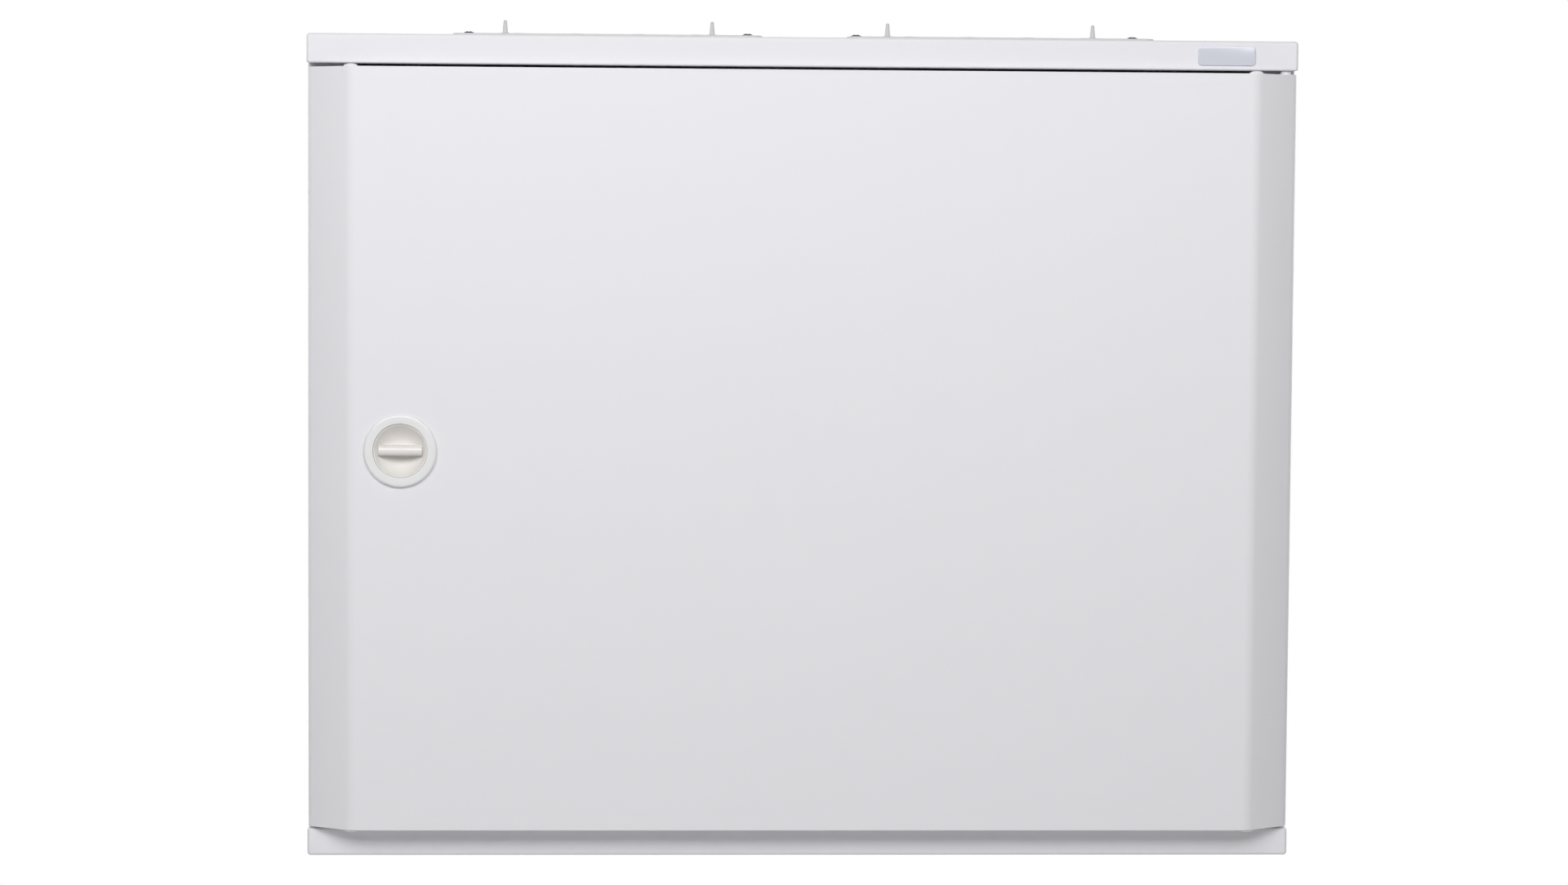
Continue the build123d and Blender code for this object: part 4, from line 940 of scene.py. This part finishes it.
@dataclass
class ModularDevice:
    """Main switch, residual-current device or breaker, with its lever and small fittings.

    SCREW_HEAD holds shares of the head's radius, and depths in millimetres.
    """

    SCREW_HEAD = ((0.0, 1.0), (0.0, -0.2), (0.8, -0.1), (1.0, 0.25), (1.0, 1.0))

    case: str
    toggle: str
    modules: int
    case_soft: float = 0.35 * MM
    toggle_soft: float = 0.3 * MM
    screw_radius: float = 2.6 * MM
    screw_offset: float = 34.0 * MM
    screw_depth: float = 2.2 * MM
    drum: float = 9.0 * MM
    pivot_back: float = 7.0 * MM
    module: float = 18.0 * MM
    shoulder: float = 16.0 * MM
    label_margin: float = 2.2 * MM
    label_half_length: float = 14.0 * MM
    label_half_height: float = 2.6 * MM
    label_lift: float = 17.2 * MM
    label_proud: float = 0.12 * MM
    label_sunk: float = 0.1 * MM
    label_edge: float = 0.05 * MM
    mark_proud: float = 0.06 * MM
    mark_sunk: float = 0.3 * MM
    stroke_half: tuple[float, float] = (0.35 * MM, 1.5 * MM)
    stroke_lift: float = -12.0
    ring_radii: tuple[float, float] = (0.9 * MM, 1.5 * MM)
    ring_lift: float = 82.0

    def build(self) -> None:
        """Finish the case and the lever, and add the screws, label and marks."""
        polished(self.case, self.case_soft)
        polished(self.toggle, self.toggle_soft)
        low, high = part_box(self.case)
        row = (low.z + high.z) / 2
        self._terminal_screws(low, high, row)
        self._label(low, high, row)
        self._marks(low.y, row)

    def _terminal_screws(self, low: Vector, high: Vector, row: float) -> None:
        """Clamp screws at the bottom of their wells.

        Args:
            low: Lowest corner of the case.
            high: Highest corner of the case.
            row: Height of the middle of the row.
        """
        shape = Shape()
        seat = low.y + self.shoulder + self.screw_depth
        head = [(self.screw_radius * share, depth * MM) for share, depth in self.SCREW_HEAD]
        for i in range(self.modules):
            x = (low.x + high.x) / 2 + (i - (self.modules - 1) / 2) * self.module
            for end in (-1, 1):
                centre = Vector((x, seat, row + end * self.screw_offset))
                shape.turned(head, centre, Along.Y, 24)
        shape.object(self.case.replace("case", "clamp_screws"), BODIES[self.case], "zinc_steel")

    def _label(self, low: Vector, high: Vector, row: float) -> None:
        """Blank paper label on the upper part of the nose.

        Args:
            low: Lowest corner of the case.
            high: Highest corner of the case.
            row: Height of the middle of the row.
        """
        shape = Shape()
        x, z = (low.x + high.x) / 2, row + self.label_lift
        half = min((high.x - low.x) / 2 - self.label_margin, self.label_half_length)
        verts = shape.block((x - half, low.y - self.label_proud, z - self.label_half_height),
                            (x + half, low.y + self.label_sunk, z + self.label_half_height))
        shape.round_over(lambda e: all(v.co.y < low.y for v in e.verts), self.label_edge, 1, verts)
        shape.object(self.case.replace("case", "label"), BODIES[self.case], "paper")

    def _marks(self, nose: float, row: float) -> None:
        """Upright stroke and ring on the drum for on and off.

        Args:
            nose: Depth of the face of the case's nose.
            row: Height of the middle of the row.
        """
        low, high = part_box(self.toggle)
        x, pivot = (low.x + high.x) / 2, Vector((0.0, nose + self.pivot_back, row))
        front, back = -self.drum - self.mark_proud, -self.drum + self.mark_sunk
        (across, up), (inner, outer) = self.stroke_half, self.ring_radii
        shape = Shape()
        stroke = shape.block((x - across, front, -up), (x + across, back, up))
        self._tilt(shape, stroke, pivot, self.stroke_lift)
        ring = shape.turned([(inner, front), (outer, front), (outer, back), (inner, back)],
                            Vector((x, 0, 0)), Along.Y, 24)
        self._tilt(shape, ring, pivot, self.ring_lift)
        shape.object(self.toggle.replace("toggle", "marks"), BODIES[self.toggle], "mark_white")

    @staticmethod
    def _tilt(shape: Shape, verts: Verts, pivot: Vector, lift: float) -> None:
        """Turn a mark about the lever's pivot and put it in its row.

        Args:
            shape: Mesh that holds the mark.
            verts: Vertices of the mark.
            pivot: The pivot's depth and height.
            lift: Angle from level in degrees.
        """
        turn = Matrix.Rotation(math.radians(-lift), 4, "X")
        bmesh.ops.transform(shape.bm, verts=verts, matrix=Matrix.Translation(pivot) @ turn)


@dataclass
class Studio:
    """Camera, soft lights, white surroundings and a pale floor."""

    lens: float = 82.18
    sensor: float = 36.0
    place: Point = (-0.0964, -2.0893, 0.1289)
    forward: Point = (0.04083, 0.99738, -0.05973)
    up: Point = (-0.00429, 0.05995, 0.99819)
    ambient: float = 0.10
    aim: Point = (0.0, -0.1, 0.0)
    clip_start: float = 0.05
    floor_level: float = -0.75
    floor_half: float = 8.0
    shadow_reach: tuple[float, float] = (1.6, 2.4)
    floor_glow: float = 0.6
    floor_colour: Colour = (0.82, 0.82, 0.82)

    def build(self) -> None:
        """Set up the whole studio."""
        self._camera()
        self._lamp("key", (-0.17, -1.55, 0.92), width=2.4, height=0.8, power=30.0)
        self._lamp("rear_left", (-1.6, 1.3, 0.5), width=0.9, height=1.2, power=20.0)
        self._lamp("rear_right", (1.6, 1.3, 0.5), width=0.9, height=1.2, power=20.0)
        self._surroundings()
        self._floor()
        bpy.context.scene.view_settings.view_transform = "Standard"

    def _camera(self) -> None:
        """Camera at the front, a little to the left of the middle and above it."""
        rail_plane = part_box("back_box")[0].y
        data = bpy.data.cameras.new("camera")
        data.lens, data.sensor_width, data.clip_start = self.lens, self.sensor, self.clip_start
        camera = bpy.data.objects.new("camera", data)
        forward, up = Vector(self.forward).normalized(), Vector(self.up)
        right = forward.cross(up).normalized()
        up = right.cross(forward)
        turn = Matrix((right, up, -forward)).transposed().to_4x4()
        spot = Vector(self.place) + Vector((0.0, rail_plane, 0.0))
        camera.matrix_world = Matrix.Translation(spot) @ turn
        bpy.context.scene.collection.objects.link(camera)
        bpy.context.scene.camera = camera

    def _lamp(self, name: str, place: Point, width: float, height: float, power: float) -> None:
        """Soft rectangular lamp aimed at the object.

        Args:
            name: Name of the lamp.
            place: Its place.
            width: Its width.
            height: Its height.
            power: Its power in watts.
        """
        data = bpy.data.lights.new(name, "AREA")
        data.shape, data.size, data.size_y, data.energy = "RECTANGLE", width, height, power
        lamp = bpy.data.objects.new(name, data)
        lamp.location = place
        aim = Vector(self.aim) - Vector(place)
        lamp.rotation_euler = aim.to_track_quat("-Z", "Y").to_euler()
        lamp.visible_camera = False
        bpy.context.scene.collection.objects.link(lamp)

    @staticmethod
    def _seen(graph: Graph) -> Signal:
        """1 for rays that show the surroundings: from the camera, in gloss and through glass.

        Args:
            graph: Graph to add the nodes to.

        Returns:
            The signal.
        """
        shown = [graph.node("ShaderNodeLightPath", {}, {}, f"Is {kind} Ray")
                 for kind in ("Camera", "Glossy", "Transmission")]
        total = shown[0] + shown[1] + shown[2]
        return graph.node("ShaderNodeClamp", {}, {"Value": total})

    def _surroundings(self) -> None:
        """White to the camera and in reflections, and a faint even light otherwise."""
        world = bpy.data.worlds.new("surroundings")
        bpy.context.scene.world = world
        world.use_nodes = True
        graph = Graph.on(world.node_tree, "ShaderNodeOutputWorld")
        strength = self._seen(graph) * (1.0 - self.ambient) + self.ambient
        light = graph.node("ShaderNodeBackground", {}, {"Color": (1.0, 1.0, 1.0, 1.0), "Strength": strength})
        graph.tree.links.new(light.socket, graph.output.inputs["Surface"])

    def _floor(self) -> None:
        """Pale floor well under the wall-hung object, with its shadow, fading into the white."""
        shape = Shape()
        bmesh.ops.create_grid(shape.bm, x_segments=2, y_segments=2, size=self.floor_half,
                              matrix=Matrix.Translation((0, 0, self.floor_level)))
        mesh = bpy.data.meshes.new("floor")
        shape.bm.to_mesh(mesh)
        shape.bm.free()
        floor = bpy.data.objects.new("floor", mesh)
        bpy.context.scene.collection.objects.link(floor)
        floor.data.materials.append(self._floor_finish())

    def _floor_finish(self) -> bpy.types.Material:
        """Pale matt surface near the object, white far from it.

        Returns:
            The material.
        """
        graph = Graph("pale_floor")
        matt = graph.node("ShaderNodeBsdfDiffuse", {}, {"Color": (*self.floor_colour, 1.0)})
        white = graph.node("ShaderNodeEmission", {}, {"Strength": 1.0})
        distance = graph.node("ShaderNodeVectorMath", {"operation": "LENGTH"}, {0: graph.place()}, "Value")
        near, far = self.shadow_reach
        fade = graph.node("ShaderNodeMapRange", {"interpolation_type": "SMOOTHSTEP"},
                          {"Value": distance, "From Min": near, "From Max": far})
        factor = self._seen(graph) * (fade * (1.0 - self.floor_glow) + self.floor_glow)
        surface = graph.node("ShaderNodeMixShader", {}, {0: factor, 1: matt, 2: white})
        graph.tree.links.new(surface.socket, graph.output.inputs["Surface"])
        return graph.material


def dress_rest() -> None:
    """Give each CAD node that is still shown its finish."""
    for name, node in frame["nodes"].items():
        if node.hide_render:
            continue
        node.data.materials.clear()
        node.data.materials.append(PALETTE.get(SLOTS[name]))
        LOG.info("%s carried over", name)


def main() -> None:
    """Build the sub-assemblies in order."""
    logging.basicConfig(level=logging.INFO, format="%(name)s: %(message)s")
    Studio().build()
    Enclosure().build()
    Door().build()
    Latch().build()
    for side in ("left", "right"):
        CableEntry(side).build()
    ModularDevice("main_switch_case", "main_switch_toggle", 4).build()
    ModularDevice("rcd_case", "rcd_toggle", 4).build()
    for number in range(1, BREAKERS + 1):
        ModularDevice(f"mcb_case_{number}", f"mcb_toggle_{number}", 1).build()
    polished("rcd_test_button")
    dress_rest()


if __name__ == "__main__":
    main()
